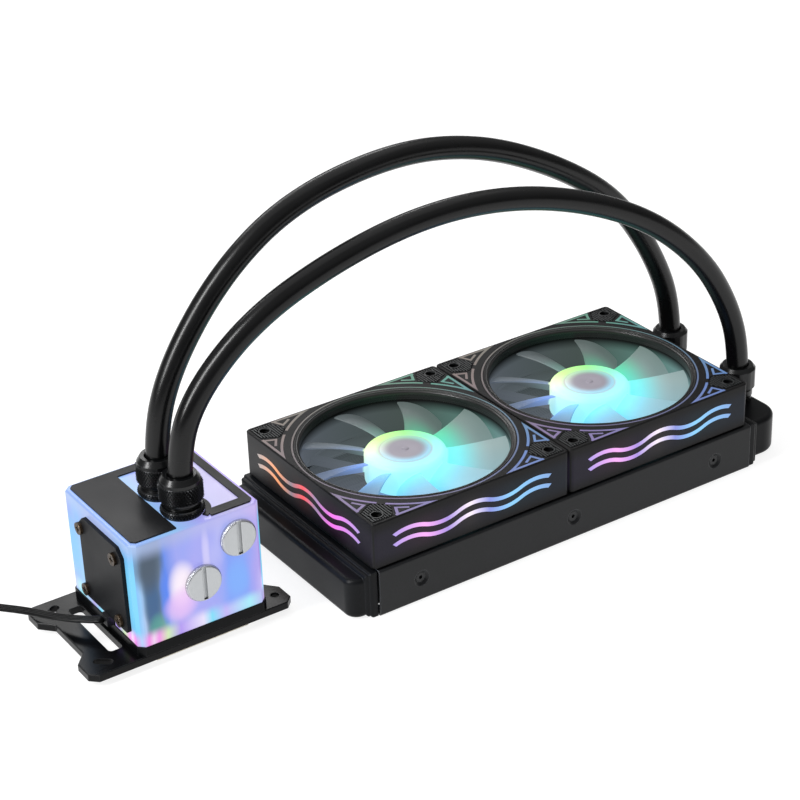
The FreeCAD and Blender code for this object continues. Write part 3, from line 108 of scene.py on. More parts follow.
def painted(name, colour, drift_tone_and_edge_highlight, roughness, grain, relief, edge=0.0, painted_edge_tone=None,
            streak=(1.0, 1.0, 1.0), shine=0.5, metal=0.0, lit=None):
    """An opaque finish: fine grain of that size and depth in metres, a slight drift of tone and gloss over
    centimetres, a painted highlight or painted shade line along the edges within that reach, and painted
    coloured light that glows from it. Orange peel and moulded skins have their real grain; drawn, plated,
    oxidised and anodised metal is too fine to show, and has it at 0.2 to 0.5 mm."""
    material, tree = new_tree(name)
    place = add(tree, "ShaderNodeTexCoord").node.outputs["Object"]
    drawn = add(tree, "ShaderNodeMapping", {"Vector": place, "Scale": streak})
    fine = add(tree, "ShaderNodeTexNoise", {"Vector": drawn, "Scale": 1 / grain, "Detail": 3.0,
                                            "Roughness": 0.6})
    broad = add(tree, "ShaderNodeTexNoise", {"Vector": place, "Scale": DRIFT_SCALE, "Detail": 2.0})
    blend = add(tree, "ShaderNodeMapRange", {"Value": broad, "From Min": 0.3, "From Max": 0.7, "To Max": 0.3})
    speck = add(tree, "ShaderNodeMapRange", {"Value": fine, "From Min": 0.35, "From Max": 0.75,
                                             "To Max": 0.22})
    share = add(tree, "ShaderNodeMath", {0: blend, 1: speck}, operation="ADD")
    tone = add(tree, "ShaderNodeMix", {SHARE: share, UNDER: colour, OVER: drift_tone_and_edge_highlight}, data_type="RGBA")
    gloss = add(tree, "ShaderNodeMapRange", {"Value": broad, "From Min": 0.3, "From Max": 0.7,
                                             "To Min": roughness - 0.03, "To Max": roughness + 0.05})
    relief_inputs = {"Height": fine, "Distance": relief, "Strength": 0.8}
    # Painted highlight or painted shade line: the edge tone is laid on the edges within the bevel's reach.
    if edge:
        rounded = add(tree, "ShaderNodeBevel", {"Radius": edge}, samples=4)
        flat = add(tree, "ShaderNodeNewGeometry").node.outputs["Normal"]
        facing = add(tree, "ShaderNodeVectorMath", {0: rounded, 1: flat}, operation="DOT_PRODUCT")
        rim = add(tree, "ShaderNodeMapRange", {"Value": facing, "From Min": 0.99, "From Max": 0.84,
                                               "To Max": 0.9})
        tone = add(tree, "ShaderNodeMix", {SHARE: rim, UNDER: tone, OVER: painted_edge_tone or drift_tone_and_edge_highlight},
                   data_type="RGBA")
        relief_inputs["Normal"] = rounded
    normal = add(tree, "ShaderNodeBump", relief_inputs)
    finish = {"Base Color": tone, "Roughness": gloss, "Normal": normal, "Specular IOR Level": shine,
              "Metallic": metal}
    if lit:
        finish["Emission Color"], finish["Emission Strength"] = lit(tree)
    shader = add(tree, "ShaderNodeBsdfPrincipled", finish)
    add(tree, "ShaderNodeOutputMaterial", {"Surface": shader})
    return material


def placed(name, data):
    """A new object with this data, linked to the scene."""
    thing = bpy.data.objects.new(name, data)
    bpy.context.scene.collection.objects.link(thing)
    return thing


# Table: a matt white sheet, so smooth that only its even light shows.
table_mesh = bpy.data.meshes.new("table_top")
half = TABLE_SIZE / 2
table_mesh.from_pydata([(-half, -half, 0), (half, -half, 0), (half, half, 0), (-half, half, 0)], [],
                       [(0, 1, 2, 3)])
table_mesh.materials.append(painted("white_light_table", TABLE, TABLE_WORN, 0.7, 0.002, 0.00001,
                                    lit=lambda tree: (TABLE_LIGHT, TABLE_GLOW)))
table_top = placed("table_top", table_mesh)

world = bpy.data.worlds.new("white_tent")
bpy.context.scene.world = world
world.use_nodes = True
tent = world.node_tree
tent.nodes.clear()
way = add(tent, "ShaderNodeTexCoord").node.outputs["Generated"]
way = add(tent, "ShaderNodeSeparateXYZ", {"Vector": way}).node.outputs["Z"]
glow = add(tent, "ShaderNodeMapRange", {"Value": way, "From Min": SKY_RISE[0], "From Max": SKY_RISE[1],
                                        "To Min": SKY_LOW, "To Max": SKY_HIGH},
           interpolation_type="SMOOTHSTEP")
sky = add(tent, "ShaderNodeBackground", {"Color": SKY, "Strength": glow})
add(tent, "ShaderNodeOutputWorld", {"Surface": sky})
for box_name, place, aim, size, power in SOFT_BOXES:
    lamp = bpy.data.lights.new(box_name, "AREA")
    lamp.shape = "RECTANGLE"
    lamp.size, lamp.size_y = size
    lamp.energy = power
    soft_box = placed(box_name, lamp)
    soft_box.location = place
    soft_box.rotation_euler = (Vector(aim) - Vector(place)).to_track_quat("-Z", "Y").to_euler()

camera = placed("camera", bpy.data.cameras.new("camera"))
camera.data.lens = LENS
camera.data.sensor_width = SENSOR
camera.data.clip_start = NEAREST_SEEN
turn, tilt, roll = (math.radians(angle) for angle in CAMERA_TURNS)
camera.matrix_world = (Matrix.Translation(CAMERA_PLACE) @ Matrix.Rotation(turn, 4, "Z")
                       @ Matrix.Rotation(tilt, 4, "X") @ Matrix.Rotation(roll, 4, "Z"))
bpy.context.scene.camera = camera
bpy.context.scene.view_settings.view_transform = "Standard"


# Radiator body: two folded steel side rails, twelve flat aluminium tubes brazed between header plates, and a
# pressed tank crimped on each end. All of it is powder coated black in one go, with the faint orange peel of
# a baked coat, and what lies in a fan's throat has the light of the diodes in its hub painted on as a glow.
FAN_MIDDLE = 0.0603
FAN_PITCH = 2 * FAN_MIDDLE
HUB_SHADOW_R = 0.018
THROAT_R = 0.0567
CORE_GLOW_R = 0.0594
CORE_GLOW_Y = 0.0579
FOOT_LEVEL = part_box("left_fan_frame")[0][2]
FOOT_LIMITS = (FOOT_LEVEL - 0.0004, FOOT_LEVEL - 0.0001)
CORE_DEPTHS = (0.010, 0.026)
GLOW_TOP = 0.0455
GLOW_FADE = 0.006
# Colours of the diodes' light painted as a glow in the throat, round a turn of the fan.
MIST = ((0.0, "#7e98d4"), (0.15, "#7cc4f0"), (0.27, "#90dcf4"), (0.42, "#9cc8cc"), (0.54, "#74a89c"),
        (0.66, "#5e6c68"), (0.88, "#747c88"), (1.0, "#7e98d4"))


def fan_polar(tree):
    """Place in the fan that a point belongs to: x and y from its middle, radius and share of a turn."""
    place = add(tree, "ShaderNodeTexCoord").node.outputs["Object"]
    split = add(tree, "ShaderNodeSeparateXYZ", {"Vector": place}).node
    x = add(tree, "ShaderNodeMath", {0: split.outputs["X"], 1: FAN_PITCH, 2: 0.0}, operation="WRAP")
    x = add(tree, "ShaderNodeMath", {0: x, 1: FAN_MIDDLE}, operation="SUBTRACT")
    y = split.outputs["Y"]
    flat = add(tree, "ShaderNodeCombineXYZ", {"X": x, "Y": y})
    radius = add(tree, "ShaderNodeVectorMath", {0: flat}, operation="LENGTH")
    angle = add(tree, "ShaderNodeMath", {0: y, 1: x}, operation="ARCTAN2")
    turn = add(tree, "ShaderNodeMath", {0: angle, 1: 1 / (2 * math.pi), 2: 0.5}, operation="MULTIPLY_ADD")
    return place, split, x, y, radius, turn


def painted_diode_light(tree):
    """Painted glow of the hub's diodes on what lies in a fan's throat: below the blades' upper edge, a little
    wider under the frame's foot, never on the rails' tops, and fading down into the core with painted shade."""
    place, split, x, y, radius, turn = fan_polar(tree)
    level = split.outputs["Z"]
    colour = add(tree, "ShaderNodeValToRGB", {"Fac": turn}, stops=MIST)
    share = add(tree, "ShaderNodeMapRange", {"Value": radius, "From Min": HUB_SHADOW_R, "From Max": THROAT_R,
                                             "To Min": 0.80, "To Max": 0.50})
    reach = add(tree, "ShaderNodeMapRange", {"Value": level, "From Min": FOOT_LIMITS[0],
                                             "From Max": FOOT_LIMITS[1], "To Min": CORE_GLOW_R,
                                             "To Max": THROAT_R})
    inside = add(tree, "ShaderNodeMath", {0: radius, 1: reach}, operation="LESS_THAN")
    breadth = add(tree, "ShaderNodeMath", {0: y}, operation="ABSOLUTE")
    breadth = add(tree, "ShaderNodeMath", {0: breadth, 1: CORE_GLOW_Y}, operation="LESS_THAN")
    depth = add(tree, "ShaderNodeMapRange", {"Value": level, "From Min": GLOW_TOP,
                                             "From Max": GLOW_TOP - GLOW_FADE})
    shade = add(tree, "ShaderNodeMapRange", {"Value": level, "From Min": CORE_DEPTHS[0],
                                             "From Max": CORE_DEPTHS[1], "To Min": 0.35})
    for part in (inside, breadth, depth, shade):
        share = add(tree, "ShaderNodeMath", {0: share, 1: part}, operation="MULTIPLY")
    return colour, share


def dress(material, *names):
    """Gives a material to CAD nodes through their objects' slots."""
    for name in names:
        node = nodes[name]
        if not node.material_slots:
            node.data.materials.append(material)
        for place in node.material_slots:
            place.material = material


# The rails' coat is a satin black with a painted grey highlight along the folds and the diodes' glow painted
# on it in the throats; the tanks' is darker and glossier, with a fainter painted edge highlight.
coat = painted("powder_coated_steel", "#101113", "#232528", 0.38, 0.0009, 0.00002, edge=0.0009,
               painted_edge_tone="#54565a", shine=0.26, lit=painted_diode_light)
dress(coat, "front_rail", "rear_rail")
tank_coat = painted("powder_coated_aluminium", "#0c0d0f", "#191b1e", 0.32, 0.0009, 0.00002, edge=0.0009,
                    painted_edge_tone="#303235", shine=0.12)
dress(tank_coat, "left_tank", "right_tank", "left_header_plate", "right_header_plate", "tank_baffle")
# The core's thin dipped paint is dull, so tubes and fins sink into the dark behind the blades, where the
# diodes' light is painted on them as a glow.
core_coat = painted("dipped_core_paint", "#0d0e0f", "#1a1b1d", 0.5, 0.0006, 0.00001, shine=0.3,
                    lit=painted_diode_light)
dress(core_coat, "core_tubes")
# Black oxide leaves the screws a dark metal, with a painted highlight along the edges and the sockets'
# corners.
black_oxide = painted("black_oxide_steel", "#121315", "#3a3b3d", 0.38, 0.0004, 0.00001, edge=0.0003,
                      metal=0.35)
dress(black_oxide, "rail_screws")


# Cooling fins: a thin aluminium strip folded into a tight zigzag fills each row between two tubes. The solids
# hold coarse folds; here they have their real pitch, about sixteen folds to the inch at 1.6 mm.
FIN_PITCH = 0.0016
FIN_FOIL = 0.00018
FIN_ROWS = 13
TUBE_THICKNESS = 0.002
FIN_CLEARANCE = 0.00025
FIN_LOW, FIN_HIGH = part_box("cooling_fins")


def tree_of(name, *inputs):
    """An empty geometry tree with one geometry output and these named inputs."""
    tree = bpy.data.node_groups.new(name, "GeometryNodeTree")
    tree.interface.new_socket("Geometry", in_out="OUTPUT", socket_type="NodeSocketGeometry")
    tree.interface.new_socket("Geometry", in_out="INPUT", socket_type="NodeSocketGeometry")
    for label, kind in inputs:
        tree.interface.new_socket(label, in_out="INPUT", socket_type=kind)
    given = tree.nodes.new("NodeGroupInput")
    return tree, {output.name: output for output in given.outputs}


def grown(name, tree, values, source=None):
    """Runs a geometry tree on a mesh with these input values and returns the plain mesh it makes."""
    carrier = placed(name, source or bpy.data.meshes.new(name))
    modifier = carrier.modifiers.new("grow", "NODES")
    modifier.node_group = tree
    for socket in tree.interface.items_tree:
        if socket.in_out == "INPUT" and socket.name in values:
            modifier[socket.identifier] = values[socket.name]
    ready = carrier.evaluated_get(bpy.context.evaluated_depsgraph_get())
    mesh = bpy.data.meshes.new_from_object(ready, depsgraph=bpy.context.evaluated_depsgraph_get())
    carrier.modifiers.remove(modifier)
    bpy.data.objects.remove(carrier)
    mesh.name = name
    return mesh


def shown(name, mesh, material, body="cooler"):
    """Links a finished mesh as a piece that rides on a body, and gives it this material."""
    piece = placed(name, mesh)
    mesh.materials.clear()
    mesh.materials.append(material)
    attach(piece, body)
    return piece


fin_tree, given = tree_of("folded_fins", ("Folds", "NodeSocketInt"), ("Length", "NodeSocketFloat"),
                          ("Depth", "NodeSocketFloat"), ("Height", "NodeSocketFloat"),
                          ("Foil", "NodeSocketFloat"), ("Rows", "NodeSocketInt"),
                          ("Row Pitch", "NodeSocketFloat"), ("Finish", "NodeSocketMaterial"))
count = add(fin_tree, "ShaderNodeMath", {0: given["Folds"], 1: 2.0, 2: 1.0}, operation="MULTIPLY_ADD")
run = add(fin_tree, "ShaderNodeMath", {0: given["Length"], 1: given["Folds"]}, operation="DIVIDE")
step = add(fin_tree, "ShaderNodeMath", {0: run, 1: 0.5}, operation="MULTIPLY")
offset = add(fin_tree, "ShaderNodeCombineXYZ", {"X": step})
line = add(fin_tree, "GeometryNodeMeshLine", {"Count": count, "Offset": offset}, mode="OFFSET")
order = add(fin_tree, "GeometryNodeInputIndex")
odd = add(fin_tree, "ShaderNodeMath", {0: order, 1: 2.0}, operation="MODULO")
fold = add(fin_tree, "ShaderNodeMath", {0: odd, 1: given["Depth"]}, operation="MULTIPLY")
fold = add(fin_tree, "ShaderNodeCombineXYZ", {"Y": fold})
line = add(fin_tree, "GeometryNodeSetPosition", {"Geometry": line, "Offset": fold})
path = add(fin_tree, "GeometryNodeMeshToCurve", {"Mesh": line})
section = add(fin_tree, "GeometryNodeCurvePrimitiveQuadrilateral",
              {"Width": given["Foil"], "Height": given["Height"]}, mode="RECTANGLE")
strip = add(fin_tree, "GeometryNodeCurveToMesh", {"Curve": path, "Profile Curve": section,
                                                  "Fill Caps": True})
rows = add(fin_tree, "ShaderNodeCombineXYZ", {"Y": given["Row Pitch"]})
rows = add(fin_tree, "GeometryNodeMeshLine", {"Count": given["Rows"], "Offset": rows}, mode="OFFSET")
strips = add(fin_tree, "GeometryNodeInstanceOnPoints", {"Points": rows, "Instance": strip})
strips = add(fin_tree, "GeometryNodeRealizeInstances", {"Geometry": strips})
strips = add(fin_tree, "GeometryNodeSetMaterial", {"Geometry": strips, "Material": given["Finish"]})
add(fin_tree, "NodeGroupOutput", {"Geometry": strips})

fin_length = FIN_HIGH[0] - FIN_LOW[0]
fin_height = FIN_HIGH[2] - FIN_LOW[2]
row_pitch = (FIN_HIGH[1] - FIN_LOW[1] + TUBE_THICKNESS) / FIN_ROWS
fin_mesh = grown("fin_strips", fin_tree, {
    "Folds": round(fin_length / FIN_PITCH), "Length": fin_length, "Height": fin_height, "Foil": FIN_FOIL,
    "Depth": row_pitch - TUBE_THICKNESS - 2 * FIN_CLEARANCE, "Rows": FIN_ROWS, "Row Pitch": row_pitch,
    "Finish": core_coat})
fin_mesh.transform(Matrix.Translation((FIN_LOW[0], FIN_LOW[1] + FIN_CLEARANCE,
                                       (FIN_LOW[2] + FIN_HIGH[2]) / 2)))
fins = shown("fin_strips", fin_mesh, core_coat)
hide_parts("cooling_fins")


# Fan frames: two square frames with a flared round throat, injection moulded in black ABS with a fine spark
# texture, each on soft rubber corner pads and screwed down at its corners. Waves of coloured light shine
# from the left and front faces.
FANS = ("left_fan_", "right_fan_")
FAN_HALF = 0.06
FAN_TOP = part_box("left_fan_frame")[1][2]
FACE_LIMITS = (FAN_HALF - 0.0006, FAN_HALF - 0.0003)
FRONT_LIMIT = -0.0585
WAVE_REACH = 0.049
WAVE_LOW, WAVE_HIGH = (corner[2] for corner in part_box("left_fan_side_lights"))
SPILL_FAR, SPILL_NEAR = 0.012, 0.004
SPILL_MOST = 0.018
LEFT_WAVE = ((0.0, "#a8a4a2"), (0.2, "#ffa060"), (0.34, "#8c7c88"), (0.46, "#ff4c54"), (0.58, "#9c86ac"),
             (0.74, "#ff78f6"), (1.0, "#b49ce4"))
FRONT_WAVE = ((0.0, "#aa98e8"), (0.2, "#fcaef8"), (0.34, "#a88ce4"), (0.48, "#fff0ff"), (0.6, "#8690e0"),
              (0.74, "#88d0ff"), (1.0, "#7fa6e0"))


def wave_light(tree, x, y):
    """Colour of the side diodes at a place along a fan's left or front face."""
    along = add(tree, "ShaderNodeMapRange", {"Value": y, "From Min": WAVE_REACH, "From Max": -WAVE_REACH})
    left = add(tree, "ShaderNodeValToRGB", {"Fac": along}, stops=LEFT_WAVE)
    across = add(tree, "ShaderNodeMapRange", {"Value": x, "From Min": -WAVE_REACH, "From Max": WAVE_REACH})
    front = add(tree, "ShaderNodeValToRGB", {"Fac": across}, stops=FRONT_WAVE)
    at_front = add(tree, "ShaderNodeMath", {0: y, 1: FRONT_LIMIT}, operation="LESS_THAN")
    return add(tree, "ShaderNodeMix", {SHARE: at_front, UNDER: left, OVER: front}, data_type="RGBA")


def painted_frame_light(tree):
    """Painted glow of the hub's diodes inside the throat, and of the waves' light spilling on the faces round
    them.
    """
    throat, throat_share = painted_diode_light(tree)
    place, split, x, y, radius, turn = fan_polar(tree)
    from_x = add(tree, "ShaderNodeMath", {0: x}, operation="ABSOLUTE")
    from_y = add(tree, "ShaderNodeMath", {0: y}, operation="ABSOLUTE")
    reach = add(tree, "ShaderNodeMath", {0: from_x, 1: from_y}, operation="MAXIMUM")
    face = add(tree, "ShaderNodeMapRange", {"Value": reach, "From Min": FACE_LIMITS[0],
                                            "From Max": FACE_LIMITS[1]})
    gap = add(tree, "ShaderNodeMath", {0: split.outputs["Z"], 1: (WAVE_LOW + WAVE_HIGH) / 2},
              operation="SUBTRACT")
    gap = add(tree, "ShaderNodeMath", {0: gap}, operation="ABSOLUTE")
    spill = add(tree, "ShaderNodeMapRange", {"Value": gap, "From Min": SPILL_FAR, "From Max": SPILL_NEAR,
                                             "To Max": SPILL_MOST}, interpolation_type="SMOOTHSTEP")
    share = add(tree, "ShaderNodeMath", {0: spill, 1: face}, operation="MULTIPLY")
    colour = add(tree, "ShaderNodeMix", {SHARE: face, UNDER: throat, OVER: wave_light(tree, x, y)},
                 data_type="RGBA")
    return colour, add(tree, "ShaderNodeMath", {0: share, 1: throat_share}, operation="ADD")


def of_both(*parts):
    """Names of these parts of both fans."""
    return [fan + part for fan in FANS for part in parts]


# Spark-textured ABS scatters a soft grey sheen, with a painted shade line where two faces meet and the
# diodes' and waves' light painted on it as a glow. The pads' rubber is blacker than anything beside it.
moulded = painted("spark_textured_black_abs", "#101012", "#282726", 0.42, 0.0007, 0.00002, edge=0.0007,
                  painted_edge_tone="#060607", shine=0.16, lit=painted_frame_light)
dress(moulded, *of_both("frame"))
pad_rubber = painted("moulded_pad_rubber", "#050506", "#0c0d0e", 0.5, 0.0006, 0.00002, shine=0.1)
dress(pad_rubber, *of_both("corner_pads", "lower_pads"))
dress(black_oxide, *of_both("screws"))
# Inside the hubs, unseen unless a fan is opened: bright shaft and magnet ring, the brown of oil-filled
# bronze, and the red-brown of lacquered copper.
steel = painted("bright_drawn_steel", "#b9bbbe", "#d8dadc", 0.25, 0.0003, 0.000005, metal=1.0)
dress(steel, *of_both("shaft", "magnet"))
bronze = painted("sintered_bronze", "#9a7440", "#c29a5c", 0.42, 0.0002, 0.000005, metal=1.0)
dress(bronze, *of_both("bearing"))
winding = painted("enamelled_copper_winding", "#8c4a22", "#b96c38", 0.35, 0.0004, 0.00003, metal=0.8)
dress(winding, *of_both("stator"))


# Ribs on the corner pads: straight grooves moulded into the rubber, from front to rear on every pad, leave
# thin raised ribs over the whole pad but for the screw hole, which has a raised rim of its own. The pad's
# outline and its margins are in millimetres from the fan's corner.
RIB_PITCH = 0.00145
RIB_WIDTH = 0.00062
RIB_HEIGHT = 0.00045
RIB_LEAST = 0.8
RIB_INSET = 0.8
FIRST_RIB = 0.9
LAST_RIB = 17.6
PAD_OUTLINE = ((1.7, 1.7), (13.3, 1.7), (18.0, 10.0), (16.9, 12.5), (12.5, 16.9), (10.0, 18.0), (1.7, 13.3))
HOLE_PLACE = 7.5
HOLE_R = 3.6
HOLE_CLEARANCE = 0.4
RIM_R = 0.0031
RIM_STEPS = 20
PAD_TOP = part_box("left_fan_corner_pads")[1][2]


def rib_runs():
    """Start, end and level of each rib on one pad, in metres from the fan's corner, clear of the hole."""
    runs = []
    sides = list(zip(PAD_OUTLINE, PAD_OUTLINE[1:] + PAD_OUTLINE[:1]))
    level = PAD_OUTLINE[0][1] + FIRST_RIB
    while level < LAST_RIB:
        hits = []
        for (ax, ay), (bx, by) in sides:
            if (ay - level) * (by - level) < 0:
                hits.append(ax + (bx - ax) * (level - ay) / (by - ay))
        start, end = min(hits) + RIB_INSET, max(hits) - RIB_INSET
        pieces = [(start, end)]
        gap = HOLE_R ** 2 - (level - HOLE_PLACE) ** 2
        if gap > 0:
            reach = math.sqrt(gap) + HOLE_CLEARANCE
            pieces = [(start, HOLE_PLACE - reach), (HOLE_PLACE + reach, end)]
        runs += [(a / 1000, b / 1000, level / 1000) for a, b in pieces if b - a > RIB_LEAST]
        level += RIB_PITCH * 1000
    return runs


rib_tree, given = tree_of("pad_ribs", ("Width", "NodeSocketFloat"), ("Height", "NodeSocketFloat"),
                          ("Finish", "NodeSocketMaterial"))
path = add(rib_tree, "GeometryNodeMeshToCurve", {"Mesh": given["Geometry"]})
half_width = add(rib_tree, "ShaderNodeMath", {0: given["Width"], 1: 0.5}, operation="MULTIPLY")
section = add(rib_tree, "GeometryNodeCurvePrimitiveQuadrilateral",
              {"Bottom Width": given["Width"], "Top Width": half_width, "Height": given["Height"],
               "Offset": 0.0}, mode="TRAPEZOID")
ribs = add(rib_tree, "GeometryNodeCurveToMesh", {"Curve": path, "Profile Curve": section, "Fill Caps": True})
ribs = add(rib_tree, "GeometryNodeSetShadeSmooth", {"Geometry": ribs, "Shade Smooth": False})
ribs = add(rib_tree, "GeometryNodeRealizeInstances", {"Geometry": ribs})
ribs = add(rib_tree, "GeometryNodeSetMaterial", {"Geometry": ribs, "Material": given["Finish"]})
add(rib_tree, "NodeGroupOutput", {"Geometry": ribs})

rib_points, rib_edges = [], []
for centre in (-FAN_MIDDLE, FAN_MIDDLE):
    for sx in (-1, 1):
        for sy in (-1, 1):
            for start, end, level in rib_runs():
                for reach in (start, end):
                    rib_points.append((centre + sx * (FAN_HALF - level), sy * (FAN_HALF - reach), PAD_TOP))
                rib_edges.append((len(rib_points) - 2, len(rib_points) - 1))
            first = len(rib_points)
            hole = FAN_HALF - HOLE_PLACE / 1000
            for i in range(RIM_STEPS):
                turn = 2 * math.pi * i / RIM_STEPS
                rib_points.append((centre + sx * hole + RIM_R * math.cos(turn),
                                   sy * hole + RIM_R * math.sin(turn), PAD_TOP))
                rib_edges.append((first + i, first + (i + 1) % RIM_STEPS))
rib_lines = bpy.data.meshes.new("rib_lines")
rib_lines.from_pydata(rib_points, rib_edges, [])
# The ribs are a lighter grey than the pads, which is what makes them stand out on the black pads.
rib_rubber = painted("grey_rib_rubber", "#292b2c", "#3e4041", 0.45, 0.0006, 0.00002)
rib_mesh = grown("pad_ribs", rib_tree, {"Width": RIB_WIDTH, "Height": 2 * RIB_HEIGHT, "Finish": rib_rubber},
                 rib_lines)
shown("pad_ribs", rib_mesh, rib_rubber)


# Throat lips: a moulded ring snapped into the mouth of each throat, in the same ABS with a brighter gloss. It
# carries a fine raised bead beside the light ring and steps down the wall in ledges. The section is in
# millimetres from the fan's axis and below its top.
LIP_SECTION = ((56.95, 0.0), (56.3, -0.12), (55.95, -0.3), (55.85, -0.02), (55.45, -0.02), (55.35, -0.5),
               (54.7, -0.75), (54.45, -1.1), (54.4, -2.6), (54.75, -2.8), (54.75, -4.2), (55.0, -4.4),
               (55.0, -5.6), (55.3, -5.8), (55.4, -3.6), (56.2, -1.2), (56.95, -0.5), (56.95, 0.0))
LIP_STEPS = 160
SHARP = math.radians(35)
NOTHING = 1e-7


def turned(profile, steps):
    """Closed mesh turned about the vertical axis from (radius, height) points, from axis to axis or in a
    loop."""
    made = bmesh.new()
    rings = []
    for radius, height in profile:
        if radius < NOTHING:
            rings.append([made.verts.new((0, 0, height))])
        else:
            rings.append([made.verts.new((radius * math.cos(2 * math.pi * i / steps),
                                          radius * math.sin(2 * math.pi * i / steps), height))
                          for i in range(steps)])
    for low, high in zip(rings, rings[1:]):
        for i in range(steps):
            j = (i + 1) % steps
            corners = [low[i % len(low)], low[j % len(low)], high[j % len(high)], high[i % len(high)]]
            made.faces.new(list(dict.fromkeys(corners)))
    bmesh.ops.remove_doubles(made, verts=made.verts, dist=NOTHING)
    bmesh.ops.recalc_face_normals(made, faces=made.faces)
    mesh = bpy.data.meshes.new("turned")
    made.to_mesh(mesh)
    made.free()
    mesh.set_sharp_from_angle(angle=SHARP)
    return mesh


# A polished mould makes the lip glossier, and a painted highlight along its edges draws a thin bright line
# round the dark throat.
lip_gloss = painted("satin_moulded_abs", "#19191a", "#3c3a39", 0.3, 0.0007, 0.00001, edge=0.0002)
for fan, centre in zip(FANS, (-FAN_MIDDLE, FAN_MIDDLE)):
    lip = turned([(r / 1000, z / 1000) for r, z in LIP_SECTION], LIP_STEPS)
    lip.transform(Matrix.Translation((centre, 0, FAN_TOP)))
    shown(fan + "throat_lip", lip, lip_gloss)


# Light windows of the fans: milky diffuser strips let flush into the frame, lit from behind by coloured
# diodes, so each corner and each wave drifts from one colour to the next. The ring round the throat is
# duller than the corners, and a haze of about 6 mm keeps the light uneven.
CORNER_LIGHTS = ((0.0, "#8c7c88"), (0.125, "#9680c0"), (0.375, "#6c94dc"), (0.5, "#68a8c4"),
                 (0.625, "#5aa88e"), (0.78, "#80826e"), (0.9, "#8e7a74"), (1.0, "#8c7c88"))
SMOKE = "#2c2c30"
RING_LIMITS = (0.0590, 0.0606)
MILK_SCALE = 160.0
top_glow, tree = new_tree("milky_diffuser_top")
place, split, x, y, radius, turn = fan_polar(tree)
colour = add(tree, "ShaderNodeValToRGB", {"Fac": turn}, stops=CORNER_LIGHTS)
corner = add(tree, "ShaderNodeMapRange", {"Value": radius, "From Min": RING_LIMITS[0],
                                          "From Max": RING_LIMITS[1]})
dull = add(tree, "ShaderNodeMix", {SHARE: 0.5, UNDER: colour, OVER: "#5c5858"}, data_type="RGBA")
colour = add(tree, "ShaderNodeMix", {SHARE: corner, UNDER: dull, OVER: colour}, data_type="RGBA")
haze = add(tree, "ShaderNodeTexNoise", {"Vector": place, "Scale": MILK_SCALE, "Detail": 2.0})
haze = add(tree, "ShaderNodeMapRange", {"Value": haze, "From Min": 0.3, "From Max": 0.7, "To Max": 0.2})
colour = add(tree, "ShaderNodeMix", {SHARE: haze, UNDER: colour, OVER: "#5c5a60"}, data_type="RGBA")
shader = add(tree, "ShaderNodeBsdfPrincipled", {"Base Color": SMOKE, "Roughness": 0.42,
                                                "Emission Color": colour, "Emission Strength": 0.72})
add(tree, "ShaderNodeOutputMaterial", {"Surface": shader})
dress(top_glow, *of_both("top_lights"))

wave_glow, tree = new_tree("milky_diffuser_side")
place, split, x, y, radius, turn = fan_polar(tree)
colour = wave_light(tree, x, y)
shader = add(tree, "ShaderNodeBsdfPrincipled", {"Base Color": SMOKE, "Roughness": 0.4,
                                                "Emission Color": colour, "Emission Strength": 1.0})
add(tree, "ShaderNodeOutputMaterial", {"Surface": shader})
dress(wave_glow, *of_both("side_lights"))


# Fan rotors: hub and nine swept blades moulded in one piece of frosted clear plastic. Diodes under the hub
# fill it with light that spills out along the blades, green at the rear, cyan at the front and right, and
# blue at the left, and fades to grey before the tips.
HUB_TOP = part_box("left_fan_rotor")[1][2]
HUB_R = 0.0215
HUB_LIMITS = (HUB_R - 0.0002, HUB_R + 0.0012)
CAP_LIMITS = (0.0115, 0.0165)
CAP_LEVELS = (HUB_TOP - 0.0011, HUB_TOP - 0.0002)
WALL_LEVELS = (HUB_TOP - 0.011, HUB_TOP - 0.003)
BLADE_NEAR, BLADE_FAR = 0.021, 0.046
# The frost of the mould is too fine to show, so its grains are drawn at about 1.1 mm.
FROST_SCALE = 900.0
HUB_RING = ((0.0, "#c8fff2"), (0.15, "#a6fcff"), (0.4, "#9cf6fc"), (0.54, "#88f8c4"), (0.66, "#98fa88"),
            (0.8, "#ccff94"), (0.9, "#ecffd4"), (1.0, "#c8fff2"))
NEAR_HUB = ((0.0, "#7ea6f4"), (0.15, "#7ce0ff"), (0.3, "#80ecff"), (0.42, "#70f0f0"), (0.53, "#58d8ac"),
            (0.66, "#568a72"), (0.85, "#707e88"), (1.0, "#7ea6f4"))
FAR_BLADE = ((0.0, "#6c80a4"), (0.15, "#80b8e0"), (0.28, "#98d0e4"), (0.42, "#a6c0c0"), (0.56, "#7c928c"),
             (0.68, "#586260"), (0.86, "#626a70"), (1.0, "#6c80a4"))
frosted, tree = new_tree("frosted_clear_plastic_lit")
place, split, x, y, radius, turn = fan_polar(tree)
level = split.outputs["Z"]
ring = add(tree, "ShaderNodeValToRGB", {"Fac": turn}, stops=HUB_RING)
near = add(tree, "ShaderNodeValToRGB", {"Fac": turn}, stops=NEAR_HUB)
far = add(tree, "ShaderNodeValToRGB", {"Fac": turn}, stops=FAR_BLADE)
spill = add(tree, "ShaderNodeMapRange", {"Value": radius, "From Min": BLADE_NEAR, "From Max": BLADE_FAR},
            interpolation_type="SMOOTHERSTEP")
blade = add(tree, "ShaderNodeMix", {SHARE: spill, UNDER: near, OVER: far}, data_type="RGBA")
outside = add(tree, "ShaderNodeMapRange", {"Value": radius, "From Min": HUB_LIMITS[0],
                                           "From Max": HUB_LIMITS[1]})
disc = add(tree, "ShaderNodeMapRange", {"Value": radius, "From Min": CAP_LIMITS[0],
                                        "From Max": CAP_LIMITS[1]}, interpolation_type="SMOOTHSTEP")
